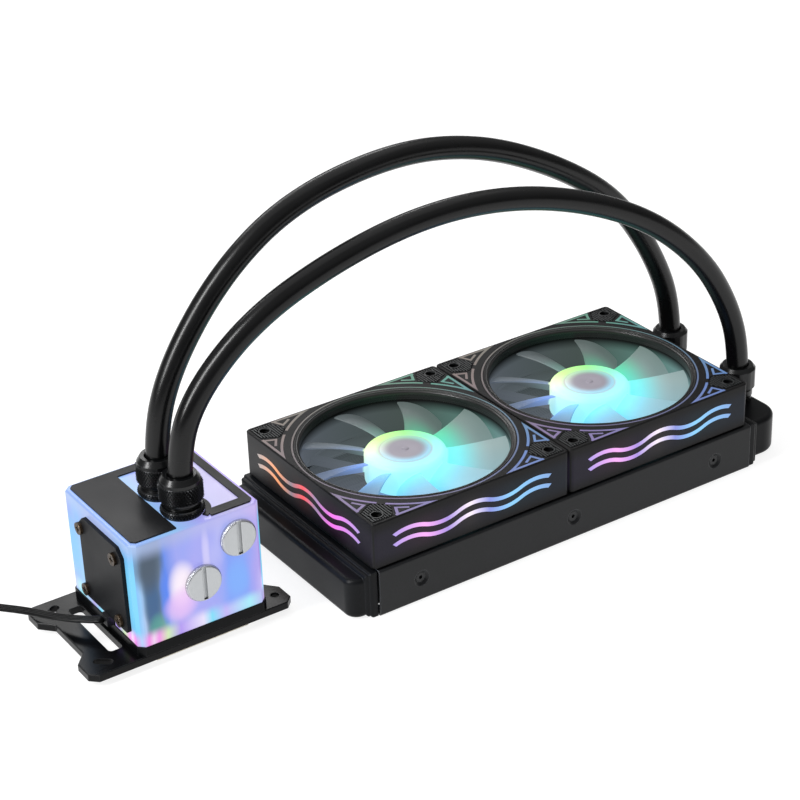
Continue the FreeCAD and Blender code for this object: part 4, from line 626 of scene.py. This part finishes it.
height = add(tree, "ShaderNodeMapRange", {"Value": level, "From Min": CAP_LEVELS[0],
                                          "From Max": CAP_LEVELS[1]})
side = add(tree, "ShaderNodeMapRange", {"Value": level, "From Min": WALL_LEVELS[0],
                                        "From Max": WALL_LEVELS[1]})
cool_ring = add(tree, "ShaderNodeMix", {SHARE: 0.45, UNDER: ring, OVER: "#7ce8ff"}, data_type="RGBA")
wall = add(tree, "ShaderNodeMix", {SHARE: side, UNDER: cool_ring, OVER: ring}, data_type="RGBA")
cap = add(tree, "ShaderNodeMix", {SHARE: disc, UNDER: "#a6a0b0", OVER: ring}, data_type="RGBA")
hub = add(tree, "ShaderNodeMix", {SHARE: height, UNDER: wall, OVER: cap}, data_type="RGBA")
lit = add(tree, "ShaderNodeMix", {SHARE: outside, UNDER: hub, OVER: blade}, data_type="RGBA")
strength = add(tree, "ShaderNodeMapRange", {"Value": radius, "From Min": HUB_R, "From Max": BLADE_FAR,
                                            "To Min": 0.90, "To Max": 0.50})
haze = add(tree, "ShaderNodeTexNoise", {"Vector": place, "Scale": FROST_SCALE, "Detail": 2.0})
bump = add(tree, "ShaderNodeBump", {"Height": haze, "Distance": 0.00002, "Strength": 0.6})
body = add(tree, "ShaderNodeMix", {SHARE: 0.35, UNDER: "#3c4042", OVER: lit}, data_type="RGBA")
shader = add(tree, "ShaderNodeBsdfPrincipled", {"Base Color": body, "Roughness": 0.5, "Emission Color": lit,
                                                "Emission Strength": strength, "Normal": bump})
add(tree, "ShaderNodeOutputMaterial", {"Surface": shader})
dress(frosted, *of_both("rotor"))


# Hub discs: a thin round foil on each hub, lilac grey in its glow, with the small raised gate mark of the
# moulding in the middle. It is pressed on and turns with its rotor.
DISC_R = 0.0132
DISC_SECTION = ((0, 0), (DISC_R, 0), (DISC_R, 0.00018), (DISC_R - 0.0002, 0.00026), (0.0032, 0.00026),
                (0.0026, 0.00016), (0.0019, 0.00018), (0.0015, 0.0007), (0.0007, 0.0009), (0, 0.0009))
DISC_STEPS = 64
TINT_LIMITS = (0.0075, DISC_R + 0.0004)
GLINT_FROM = 0.008
# The foil's grain is drawn at 0.7 mm, coarser than it is, so that it shows.
FOIL_SCALE = 1400.0
disc_foil, tree = new_tree("translucent_hub_foil")
place, split, x, y, radius, turn = fan_polar(tree)
tint = add(tree, "ShaderNodeMapRange", {"Value": radius, "From Min": TINT_LIMITS[0],
                                        "From Max": TINT_LIMITS[1]}, interpolation_type="SMOOTHSTEP")
rimlight = add(tree, "ShaderNodeValToRGB", {"Fac": turn}, stops=HUB_RING)
rimlight = add(tree, "ShaderNodeMix", {SHARE: 0.35, UNDER: rimlight, OVER: "#a8a0e8"}, data_type="RGBA")
colour = add(tree, "ShaderNodeMix", {SHARE: tint, UNDER: "#a29ca8", OVER: rimlight}, data_type="RGBA")
glint = add(tree, "ShaderNodeMapRange", {"Value": radius, "From Min": GLINT_FROM, "From Max": DISC_R,
                                         "To Min": 0.42, "To Max": 0.66}, interpolation_type="SMOOTHSTEP")
haze = add(tree, "ShaderNodeTexNoise", {"Vector": place, "Scale": FOIL_SCALE, "Detail": 2.0})
bump = add(tree, "ShaderNodeBump", {"Height": haze, "Distance": 0.00001, "Strength": 0.5})
body = add(tree, "ShaderNodeMix", {SHARE: 0.5, UNDER: colour, OVER: "#55555c"}, data_type="RGBA")
shader = add(tree, "ShaderNodeBsdfPrincipled", {"Base Color": body, "Roughness": 0.42,
                                                "Emission Color": colour, "Emission Strength": glint,
                                                "Normal": bump})
add(tree, "ShaderNodeOutputMaterial", {"Surface": shader})
for fan, centre, body_name in ((FANS[0], -FAN_MIDDLE, "left_rotor"), (FANS[1], FAN_MIDDLE, "right_rotor")):
    foil = turned(DISC_SECTION, DISC_STEPS)
    foil.transform(Matrix.Translation((centre, 0, HUB_TOP)))
    shown(fan + "hub_disc", foil, disc_foil, body_name)


# Pump head, from the desk up: nickel-plated copper cold plate, painted steel mounting bracket and a black
# moulded base that carries the light board and its seal. Screws from below hold them together.

# Nickel over copper shows as one thin warm silver line at the foot, with a painted highlight along its edges.
plated = painted("nickel_plated_copper", "#e2dac8", "#f2ecdf", 0.38, 0.0004, 0.000008, edge=0.0004,
                 metal=0.3)
dress(plated, "cold_plate", "cold_plate_screws")
# Stove enamel on the bracket is the deepest black of all, with thin painted grey highlight lines along the
# edges. The nylon base beside it is duller, with a fainter painted edge highlight.
gloss_black = painted("stove_enamelled_steel", "#050506", "#101113", 0.24, 0.0011, 0.000012, edge=0.0006,
                      painted_edge_tone="#3a3b3c", shine=0.16)
dress(gloss_black, "mounting_bracket")
base_black = painted("moulded_black_nylon", "#060708", "#101114", 0.32, 0.0007, 0.000015, edge=0.0005,
                     painted_edge_tone="#2c2d2f", shine=0.1)
dress(base_black, "base_plate")
# Seals are a dull dark grey, and hidden once the head is closed.
seal = painted("moulded_seal_rubber", "#151516", "#222223", 0.7, 0.0005, 0.00001)
dress(seal, "base_seal", "pump_seal")
# The board's mask is white, to throw the diodes' light up into the block.
board = painted("solder_masked_board", "#dfe5ea", "#f6f8fa", 0.4, 0.0008, 0.00001)
dress(board, "pump_light_board")


# Reservoir block: one piece of cast acrylic, milled out for the reservoir and the pump, with frosted outer
# faces. The board under it floods it with coloured light, and the dark motor, the port column and the
# window wall show through the frost as soft upright bands.
BLOCK_LOW, BLOCK_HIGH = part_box("reservoir_block")
LID_LEVELS = (BLOCK_HIGH[2] - 0.0009, BLOCK_HIGH[2] - 0.0001)
# The bands waver by up to 2 mm over 22 mm, and the fog has wisps 17 mm wide and 38 mm high. The frost's grit
# is too fine to show, and is drawn at 0.6 mm.
WOBBLE = 0.0035
WOBBLE_SCALE = 45.0
FOG_SCALES = (60.0, 60.0, 26.0)
GRIT_SCALE = 1600.0
BLOCK_EDGE = 0.0006
FRONT_BANDS = ((0.0, "#6cc4fa"), (0.05, "#9cc4f0"), (0.085, "#4f7890"), (0.19, "#456c86"), (0.24, "#5c86ec"),
               (0.33, "#a8a4f2"), (0.45, "#a8a8f6"), (0.66, "#9ea6f6"), (0.72, "#7c9efa"), (0.84, "#84a2fa"),
               (0.92, "#aaa2f2"), (1.0, "#bea6f0"))
SIDE_BANDS = ((0.0, "#78ccfc"), (0.12, "#74c4f4"), (0.3, "#949ee8"), (0.6, "#a298e4"), (0.8, "#84c0ea"),
              (1.0, "#9c9cec"))
FOOT_LIGHTS = ((0.0, "#8ce4fc"), (0.07, "#ff80ec"), (0.11, "#ffdcfc"), (0.15, "#ff90f0"), (0.22, "#d8f4b0"),
               (0.32, "#b494f4"), (0.50, "#f0e8ff"), (0.57, "#74e4fc"), (0.68, "#c8b8fa"), (0.86, "#a8f4fc"),
               (1.0, "#c0a4f0"))
HEAD_BANDS = ((0.0, "#a8c0ea"), (0.3, "#a9b4e2"), (0.5, "#b4b8ee"), (0.75, "#c0baf2"), (1.0, "#d2bcf2"))
TOP_BANDS = ((0.0, "#94b4fa"), (0.35, "#94c4f4"), (0.55, "#a8a8f4"), (0.75, "#bcb8e8"), (0.92, "#c0b8e8"),
             (1.0, "#a890ec"))
# Soft patches: colour, strength, centre and reach, in shares of the block across, deep and up. On the front
# face come the motor and its upper end, the glow at its foot and beside it, the bright middle with the
# light under it, the port column's wall and the right-hand glow; on the flanks, the two upright edges.
FRONT_PATCHES = (
    ("#1f5687", 1.0, (0.125, 0, 0.42), (0.085, 0, 0.62)),
    ("#34485a", 0.95, (0.115, 0, 0.80), (0.13, 0, 0.36)),
    ("#4ca890", 0.7, (0.15, 0, 0.12), (0.10, 0, 0.20)),
    ("#3c7cf8", 0.75, (0.22, 0, 0.42), (0.05, 0, 0.34)),
    ("#fff2fe", 1.0, (0.35, 0, 0.47), (0.12, 0, 0.26)),
    ("#f0c4fa", 0.8, (0.34, 0, 0.28), (0.16, 0, 0.20)),
    ("#e4dcff", 0.6, (0.55, 0, 0.62), (0.04, 0, 0.4)),
    ("#78b0ff", 0.75, (0.78, 0, 0.34), (0.11, 0, 0.25)))
FLANK_PATCHES = (
    ("#60bcf8", 0.8, (0, 0.93, 0.45), (0, 0.16, 0.40)),
    ("#7cd8ff", 0.9, (0, 0.03, 0.45), (0, 0.14, 0.45)))
acrylic, tree = new_tree("frosted_cast_acrylic_lit")
place = add(tree, "ShaderNodeTexCoord").node.outputs["Object"]
wobble = add(tree, "ShaderNodeTexNoise", {"Vector": place, "Scale": WOBBLE_SCALE,
                                          "Detail": 1.0}).node.outputs["Color"]
wobble = add(tree, "ShaderNodeVectorMath", {0: wobble, 1: (0.5, 0.5, 0.5)}, operation="SUBTRACT")
wobble = add(tree, "ShaderNodeVectorMath", {0: wobble, "Scale": WOBBLE}, operation="SCALE")
moved = add(tree, "ShaderNodeVectorMath", {0: place, 1: wobble}, operation="ADD")
split = add(tree, "ShaderNodeSeparateXYZ", {"Vector": moved}).node
across, deep, up = (
    add(tree, "ShaderNodeMapRange", {"Value": split.outputs[axis], "From Min": BLOCK_LOW[i],
                                     "From Max": BLOCK_HIGH[i]})
    for i, axis in enumerate("XYZ"))
real = add(tree, "ShaderNodeSeparateXYZ", {"Vector": place}).node
middle = (BLOCK_LOW + BLOCK_HIGH) / 2
from_x, from_y = (
    add(tree, "ShaderNodeMath", {0: add(tree, "ShaderNodeMath", {0: real.outputs[axis], 1: middle[i]},
                                        operation="SUBTRACT")}, operation="ABSOLUTE")
    for i, axis in enumerate("XY"))
front = add(tree, "ShaderNodeValToRGB", {"Fac": across}, stops=FRONT_BANDS)
flank = add(tree, "ShaderNodeValToRGB", {"Fac": deep}, stops=SIDE_BANDS)
is_flank = add(tree, "ShaderNodeMath", {0: from_x, 1: from_y}, operation="GREATER_THAN")
is_front = add(tree, "ShaderNodeMath", {0: 1.0, 1: is_flank}, operation="SUBTRACT")
colour = add(tree, "ShaderNodeMix", {SHARE: is_flank, UNDER: front, OVER: flank}, data_type="RGBA")


def patched(under, tint, strength, centre, size, gate):
    """Lays a soft round patch of light over the block's colour, on the faces that the gate lets through."""
    sums = []
    for coordinate, middle_share, reach in zip((across, deep, up), centre, size):
        if reach:
            gap = add(tree, "ShaderNodeMath", {0: coordinate, 1: middle_share}, operation="SUBTRACT")
            gap = add(tree, "ShaderNodeMath", {0: gap, 1: reach}, operation="DIVIDE")
            sums.append(add(tree, "ShaderNodeMath", {0: gap, 1: gap}, operation="MULTIPLY"))
    total = sums[0]
    for more in sums[1:]:
        total = add(tree, "ShaderNodeMath", {0: total, 1: more}, operation="ADD")
    share = add(tree, "ShaderNodeMapRange", {"Value": total, "To Min": strength, "To Max": 0.0},
                interpolation_type="SMOOTHSTEP")
    share = add(tree, "ShaderNodeMath", {0: share, 1: gate}, operation="MULTIPLY")
    return add(tree, "ShaderNodeMix", {SHARE: share, UNDER: under, OVER: tint}, data_type="RGBA")


fog = add(tree, "ShaderNodeMapping", {"Vector": place, "Scale": FOG_SCALES})
fog = add(tree, "ShaderNodeTexNoise", {"Vector": fog, "Scale": 1.0, "Detail": 2.0, "Roughness": 0.4})
for tint, start, end, most in (("#e6e2ff", 0.52, 0.72, 0.3), ("#7ca4fa", 0.46, 0.30, 0.4)):
    milk = add(tree, "ShaderNodeMapRange", {"Value": fog, "From Min": start, "From Max": end,
                                            "To Max": most})
    colour = add(tree, "ShaderNodeMix", {SHARE: milk, UNDER: colour, OVER: tint}, data_type="RGBA")
for gate, patches in ((is_front, FRONT_PATCHES), (is_flank, FLANK_PATCHES)):
    for tint, strength, centre, size in patches:
        colour = patched(colour, tint, strength, centre, size, gate)
foot = add(tree, "ShaderNodeValToRGB", {"Fac": across}, stops=FOOT_LIGHTS)
foot_flank = add(tree, "ShaderNodeValToRGB", {"Fac": deep}, stops=FOOT_LIGHTS)
foot = add(tree, "ShaderNodeMix", {SHARE: is_flank, UNDER: foot, OVER: foot_flank}, data_type="RGBA")
head = add(tree, "ShaderNodeValToRGB", {"Fac": across}, stops=HEAD_BANDS)
for tone, start, end, low, high in ((foot, 0.05, 0.17, 0.9, 0.0), (head, 0.80, 0.97, 0.0, 0.8)):
    share = add(tree, "ShaderNodeMapRange", {"Value": up, "From Min": start, "From Max": end,
                                             "To Min": low, "To Max": high},
                interpolation_type="SMOOTHSTEP")
    colour = add(tree, "ShaderNodeMix", {SHARE: share, UNDER: colour, OVER: tone}, data_type="RGBA")
lid = add(tree, "ShaderNodeValToRGB", {"Fac": across}, stops=TOP_BANDS)
is_top = add(tree, "ShaderNodeMapRange", {"Value": real.outputs["Z"], "From Min": LID_LEVELS[0],
                                          "From Max": LID_LEVELS[1]})
colour = add(tree, "ShaderNodeMix", {SHARE: is_top, UNDER: colour, OVER: lid}, data_type="RGBA")
grit = add(tree, "ShaderNodeTexNoise", {"Vector": place, "Scale": GRIT_SCALE, "Detail": 2.0})
rounded = add(tree, "ShaderNodeBevel", {"Radius": BLOCK_EDGE}, samples=4)
frost = add(tree, "ShaderNodeBump", {"Height": grit, "Distance": 0.00001, "Strength": 0.5,
                                     "Normal": rounded})
body = add(tree, "ShaderNodeMix", {SHARE: 0.9, UNDER: colour, OVER: "#161c28"}, data_type="RGBA")
shader = add(tree, "ShaderNodeBsdfPrincipled", {"Base Color": body, "Roughness": 0.34,
                                                "Emission Color": colour, "Emission Strength": 0.86,
                                                "Normal": frost, "Coat Weight": 0.2,
                                                "Coat Roughness": 0.12})
add(tree, "ShaderNodeOutputMaterial", {"Surface": shader})
dress(acrylic, "reservoir_block")


# Cover plates: a flat C-shaped plate of black anodised aluminium glued on top round the window, and a
# smaller moulded one on the left face over the motor, held by four bronze screws. Both are bare.

# Blasting before anodising leaves a fine, even, faintly grey black, with a thin painted highlight along the
# edges; the moulded cover is flatter, and its edges have a painted grey highlight line.
top_cover = painted("bead_blasted_black_aluminium", "#131315", "#26272a", 0.36, 0.0005, 0.00001,
                    edge=0.0002, shine=0.22)
dress(top_cover, "top_plate")
side_cover = painted("moulded_black_abs_cover", "#0f1012", "#191a1d", 0.44, 0.0006, 0.00001, edge=0.0004,
                     painted_edge_tone="#36383c", shine=0.12)
dress(side_cover, "side_plate")
# Bronzed screws catch a brown glint on the black cover.
dark_bronze = painted("bronzed_steel_screw", "#3a3027", "#7c6a56", 0.34, 0.0004, 0.00001, edge=0.0003,
                      metal=0.9)
dress(dark_bronze, "side_plate_screws")
# Motor and impeller are unseen behind the frost: dull black nylon, and white acetal.
motor_moulding = painted("glass_filled_black_nylon", "#1a1b1d", "#2a2b2e", 0.5, 0.0006, 0.00002)
dress(motor_moulding, "pump_motor")
impeller_moulding = painted("moulded_white_acetal", "#e4e4e0", "#f2f2ee", 0.35, 0.0006, 0.00001)
dress(impeller_moulding, "impeller")


# Fill plugs: two slotted plugs turned from brass and satin nickel plated, with a fine straight knurl on the
# rim. They screw into the front face of the block, and the plate keeps the fine lines of the turning tool.
# Its edges carry a painted highlight, lighter than the plate.
satin = painted("satin_nickel_plate", "#b2b5b7", "#d6d8d9", 0.36, 0.0003, 0.00001, edge=0.0005,
                streak=(1.0, 1.0, 0.08), metal=0.92)
dress(satin, "fill_plugs")
PLUG_CENTRES = ((-0.1786, 0.0542), (-0.1991, 0.0366))
PLUG_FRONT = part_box("fill_plugs")[0][1]
PLUG_RIM_R = 0.00935
PLUG_RIM_HEIGHT = 0.0018
PLUG_RIM_BACK = 0.0016
PLUG_RIDGES = 84
PLUG_RIDGE = 0.00035
STEPS_A_RIDGE = 4
SLEEVE_WALL = 0.0004

knurl_tree, given = tree_of("knurled_band", ("Around", "NodeSocketInt"), ("Rows", "NodeSocketInt"),
                            ("Radius", "NodeSocketFloat"), ("Height", "NodeSocketFloat"),
                            ("Ridge", "NodeSocketFloat"), ("Twist", "NodeSocketFloat"),
                            ("Finish", "NodeSocketMaterial"))
columns, levels = (
    add(knurl_tree, "ShaderNodeMath", {0: given[side], 1: STEPS_A_RIDGE, 2: 1.0}, operation="MULTIPLY_ADD")
    for side in ("Around", "Rows"))
grid = add(knurl_tree, "GeometryNodeMeshGrid", {"Size X": 1.0, "Size Y": 1.0, "Vertices X": columns,
                                                "Vertices Y": levels})
spot = add(knurl_tree, "GeometryNodeInputPosition")
spot = add(knurl_tree, "ShaderNodeSeparateXYZ", {"Vector": spot}).node
theta = add(knurl_tree, "ShaderNodeMath", {0: spot.outputs["X"], 1: 2 * math.pi}, operation="MULTIPLY")
rise = add(knurl_tree, "ShaderNodeMath", {0: spot.outputs["Y"], 1: given["Height"]}, operation="MULTIPLY")
lean = add(knurl_tree, "ShaderNodeMath", {0: spot.outputs["Y"], 1: given["Twist"]}, operation="MULTIPLY")
lean = add(knurl_tree, "ShaderNodeMath", {0: lean, 1: given["Rows"]}, operation="MULTIPLY")
count = add(knurl_tree, "ShaderNodeMath", {0: spot.outputs["X"], 1: given["Around"]}, operation="MULTIPLY")
waves = []
for way in (1.0, -1.0):
    crossed = add(knurl_tree, "ShaderNodeMath", {0: lean, 1: way, 2: count}, operation="MULTIPLY_ADD")
    waves.append(add(knurl_tree, "ShaderNodeMath", {0: crossed, 1: 0.5}, operation="PINGPONG"))
crest = add(knurl_tree, "ShaderNodeMath", {0: waves[0], 1: waves[1]}, operation="MINIMUM")
edge_gap = add(knurl_tree, "ShaderNodeMath", {0: spot.outputs["Y"]}, operation="ABSOLUTE")
edge_gap = add(knurl_tree, "ShaderNodeMapRange", {"Value": edge_gap, "From Min": 0.5, "From Max": 0.46,
                                                  "To Max": 2.0})
crest = add(knurl_tree, "ShaderNodeMath", {0: crest, 1: edge_gap}, operation="MULTIPLY")
out = add(knurl_tree, "ShaderNodeMath", {0: crest, 1: given["Ridge"], 2: given["Radius"]},
          operation="MULTIPLY_ADD")
sine = add(knurl_tree, "ShaderNodeMath", {0: theta}, operation="SINE")
cosine = add(knurl_tree, "ShaderNodeMath", {0: theta}, operation="COSINE")
px = add(knurl_tree, "ShaderNodeMath", {0: out, 1: cosine}, operation="MULTIPLY")
py = add(knurl_tree, "ShaderNodeMath", {0: out, 1: sine}, operation="MULTIPLY")
where = add(knurl_tree, "ShaderNodeCombineXYZ", {"X": px, "Y": py, "Z": rise})
band = add(knurl_tree, "GeometryNodeSetPosition", {"Geometry": grid, "Position": where})
band = add(knurl_tree, "GeometryNodeMergeByDistance", {"Geometry": band, "Distance": 0.00001})
band = add(knurl_tree, "GeometryNodeSetShadeSmooth", {"Geometry": band, "Shade Smooth": False})
band = add(knurl_tree, "GeometryNodeRealizeInstances", {"Geometry": band})
band = add(knurl_tree, "GeometryNodeSetMaterial", {"Geometry": band, "Material": given["Finish"]})
add(knurl_tree, "NodeGroupOutput", {"Geometry": band})


def knurled(name, finish, around, rows, radius, height, ridge, twist):
    """A knurled sleeve about the vertical axis through the origin, centred on it, with its inner wall."""
    mesh = grown(name, knurl_tree, {"Around": around, "Rows": rows, "Radius": radius, "Height": height,
                                    "Ridge": ridge, "Twist": twist, "Finish": finish})
    made = bmesh.new()
    made.from_mesh(mesh)
    rims = [edge for edge in made.edges if edge.is_boundary]
    for vertex in bmesh.ops.extrude_edge_only(made, edges=rims)["geom"]:
        if isinstance(vertex, bmesh.types.BMVert):
            inward = (radius - SLEEVE_WALL) / math.hypot(vertex.co.x, vertex.co.y)
            vertex.co.x, vertex.co.y = vertex.co.x * inward, vertex.co.y * inward
    bmesh.ops.recalc_face_normals(made, faces=made.faces)
    made.to_mesh(mesh)
    made.free()
    return mesh


def joined(name, meshes):
    """One mesh out of several."""
    made = bmesh.new()
    for mesh in meshes:
        made.from_mesh(mesh)
    whole = bpy.data.meshes.new(name)
    made.to_mesh(whole)
    made.free()
    return whole


rims = []
for x, z in PLUG_CENTRES:
    rim = knurled("plug_rims", satin, PLUG_RIDGES, 1, PLUG_RIM_R, PLUG_RIM_HEIGHT, PLUG_RIDGE, 0.0)
    rim.transform(Matrix.Translation((x, PLUG_FRONT + PLUG_RIM_BACK, z))
                  @ Matrix.Rotation(math.pi / 2, 4, "X"))
    rims.append(rim)
shown("plug_rims", joined("plug_rims", rims), satin)


# Hose fittings: turned and knurled compression collars with a lock ring under each, anodised satin black. A
# diamond knurl gives the fingers a grip on the two that stand on the pump head.

# Anodised black on turned aluminium keeps a faint metal gloss, with a painted highlight along the edges.
anodised = painted("black_anodised_fitting", "#08090a", "#1c1d1f", 0.26, 0.0004, 0.00001, edge=0.0004,
                   metal=0.3)
dress(anodised, "pump_fitting_bases", "pump_fitting_collars")
dress(anodised, "radiator_fitting_bases", "radiator_fitting_collars")
PUMP_PORTS = ((-0.1986, -0.0169), (-0.1986, 0.0054))
# Foot, height and rows of diamonds of the collar's band and of the lock ring's.
GRIP_BANDS = ((0.0762, 0.0088, 7), (0.0690, 0.0032, 2))
GRIP_R = 0.00992
GRIP_RIDGES = 44
GRIP_RIDGE = 0.0011
GRIP_TWIST = 0.5
# The knurl's facets are painted brighter than the turned faces round them, as a painted highlight, and are
# more metallic.
cut_knurl = painted("cut_knurl_black_anodised", "#1a1b1d", "#3a3b3d", 0.3, 0.0004, 0.00001, metal=0.7)
bands = []
for x, y in PUMP_PORTS:
    for foot_z, height, rows in GRIP_BANDS:
        band = knurled("knurled_grips", cut_knurl, GRIP_RIDGES, rows, GRIP_R, height, GRIP_RIDGE, GRIP_TWIST)
        band.transform(Matrix.Translation((x, y, foot_z + height / 2)))
        bands.append(band)
shown("knurled_grips", joined("knurled_grips", bands), cut_knurl)


# Hoses: two lengths of 12 mm black EPDM tube, pushed on the barbs and clamped by the collars. The extruded
# rubber has a smooth satin skin that shows the soft boxes as long streaks, and its stiffness holds both in
# one wide arch over the radiator.
HOSE_R = 0.006
HOSE_STEPS = 14
HOSE_ROUNDING = 7
REAR_HOSE = (
    (-198.6, 5.4, 74.9), (-198.6, 5.4, 101), (-185, 6.5, 135), (-153, 8.5, 172), (-112, 11, 195.5),
    (-52, 15, 203), (0, 18.5, 193.5), (50, 22, 170), (96, 25.5, 138), (126, 27.5, 96), (141.6, 28.4, 58),
    (141.6, 28.4, 31.0))
FRONT_HOSE = (
    (-198.6, -16.9, 74.9), (-198.6, -16.9, 101), (-186, -17.5, 129), (-154, -18.5, 157), (-110, -20, 174.5),
    (-62, -22, 184.5), (-14, -23.5, 182.5), (34, -25, 169), (79, -26.5, 146), (113, -28, 115),
    (133, -28.4, 82), (141.6, -28.4, 53), (141.6, -28.4, 31.0))
hose_rubber = painted("extruded_epdm_rubber", "#060607", "#0e0f10", 0.25, 0.0008, 0.00001, shine=0.3)


def laid_line(name, points, resolution):
    """A smooth open curve through the room that follows control points given in millimetres."""
    curve = bpy.data.curves.new(name, "CURVE")
    curve.dimensions = "3D"
    curve.resolution_u = resolution
    spline = curve.splines.new("NURBS")
    spline.points.add(len(points) - 1)
    for point, (x, y, z) in zip(spline.points, points):
        point.co = (x / 1000, y / 1000, z / 1000, 1.0)
    spline.order_u = 3
    spline.use_endpoint_u = True
    spline.use_smooth = True
    return curve


for node_name, points in (("rear_hose", REAR_HOSE), ("front_hose", FRONT_HOSE)):
    curve = laid_line(node_name + "_tube", points, HOSE_STEPS)
    curve.bevel_depth = HOSE_R
    curve.bevel_resolution = HOSE_ROUNDING
    curve.use_fill_caps = True
    curve.materials.append(hose_rubber)
    hose = placed(node_name + "_tube", curve)
    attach(hose, "cooler")
    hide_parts(node_name)


# Lead: a flat ribbed cable from the foot of the side cover, four insulated wires moulded side by side in soft
# black PVC. It runs out past the view to a neat coil of three and a quarter turns under a nylon tie, and ends
# in its plug.
LEAD = (
    (-238.7, -2.6, 15.2), (-246, 4.5, 14.4), (-255, 18, 12.4), (-262, 33, 10.6), (-272, 49, 8.4),
    (-282, 66, 5.4), (-289, 86, 2.6), (-285, 101, 2.2))
TAIL = ((-322, 143.5, 7.6), (-335, 137.5, 4.4), (-342.5, 126, 2.6), (-344.5, 112.5, 2.5))
COIL_CENTRE = (-307.0, 117.0)
COIL_R = 26.6
COIL_TURNS = 3.25
COIL_FOOT = 1.9
COIL_RISE = 2.3
COIL_LOOSE = 0.5
POINTS_A_TURN = 12
LEAD_STEPS = 8
WIRE_R = 0.0009
WIRE_PITCH = 0.00117
WIRES = (-1.5, -0.5, 0.5, 1.5)
WIRE_STEPS = 7
coil_points = []
for i in range(int(COIL_TURNS * POINTS_A_TURN) + 1):
    angle = 2 * math.pi * i / POINTS_A_TURN
    radius = COIL_R + COIL_LOOSE * math.sin(0.7 * i)
    coil_points.append((COIL_CENTRE[0] + radius * math.cos(angle), COIL_CENTRE[1] + radius * math.sin(angle),
                        COIL_FOOT + COIL_RISE * i / POINTS_A_TURN))
line_object = placed("lead_line", laid_line("lead_line", LEAD + tuple(coil_points) + TAIL, LEAD_STEPS))
line_mesh = bpy.data.meshes.new_from_object(
    line_object.evaluated_get(bpy.context.evaluated_depsgraph_get()))
lead_path = [vertex.co.copy() for vertex in line_mesh.vertices]
bpy.data.objects.remove(line_object)

# The jacket's upper halves make four ribs; its soft PVC is a plain satin black, as the tie's nylon and the
# plug's PBT are, a little greyer.
jacket = painted("ribbed_pvc_jacket", "#060607", "#101112", 0.3, 0.0008, 0.00001, shine=0.14)
profile = []
for wire in WIRES:
    for k in range(WIRE_STEPS):
        angle = math.pi - math.pi * (k + 0.5) / WIRE_STEPS
        profile.append((wire * WIRE_PITCH + WIRE_R * math.cos(angle), WIRE_R * math.sin(angle)))
profile += [(-x, -z) for x, z in profile]
made = bmesh.new()
rings = []
for i, spot in enumerate(lead_path):
    ahead = (lead_path[min(i + 1, len(lead_path) - 1)] - lead_path[max(i - 1, 0)]).normalized()
    side = ahead.cross(Vector((0, 0, 1))).normalized()
    top = side.cross(ahead)
    rings.append([made.verts.new(spot + side * a + top * b) for a, b in profile])
for low, high in zip(rings, rings[1:]):
    for i in range(len(profile)):
        j = (i + 1) % len(profile)
        made.faces.new((low[i], low[j], high[j], high[i]))
for end in (rings[0], rings[-1]):
    made.faces.new(end)
bmesh.ops.recalc_face_normals(made, faces=made.faces)
lead_mesh = bpy.data.meshes.new("lead")
made.to_mesh(lead_mesh)
made.free()
lead_mesh.shade_smooth()
lead = shown("lead", lead_mesh, jacket)
tie_nylon = painted("moulded_black_nylon_tie", "#121314", "#2a2b2d", 0.38, 0.0006, 0.00001)
dress(tie_nylon, "cable_tie")
# The plug's moulding has a painted highlight along its edges.
plug_plastic = painted("moulded_black_pbt", "#16171a", "#2c2d30", 0.42, 0.0006, 0.00001, edge=0.0003)
dress(plug_plastic, "cable_plug", "cable_gland")
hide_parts("pump_cable", "cable_coil", "cable_tail")
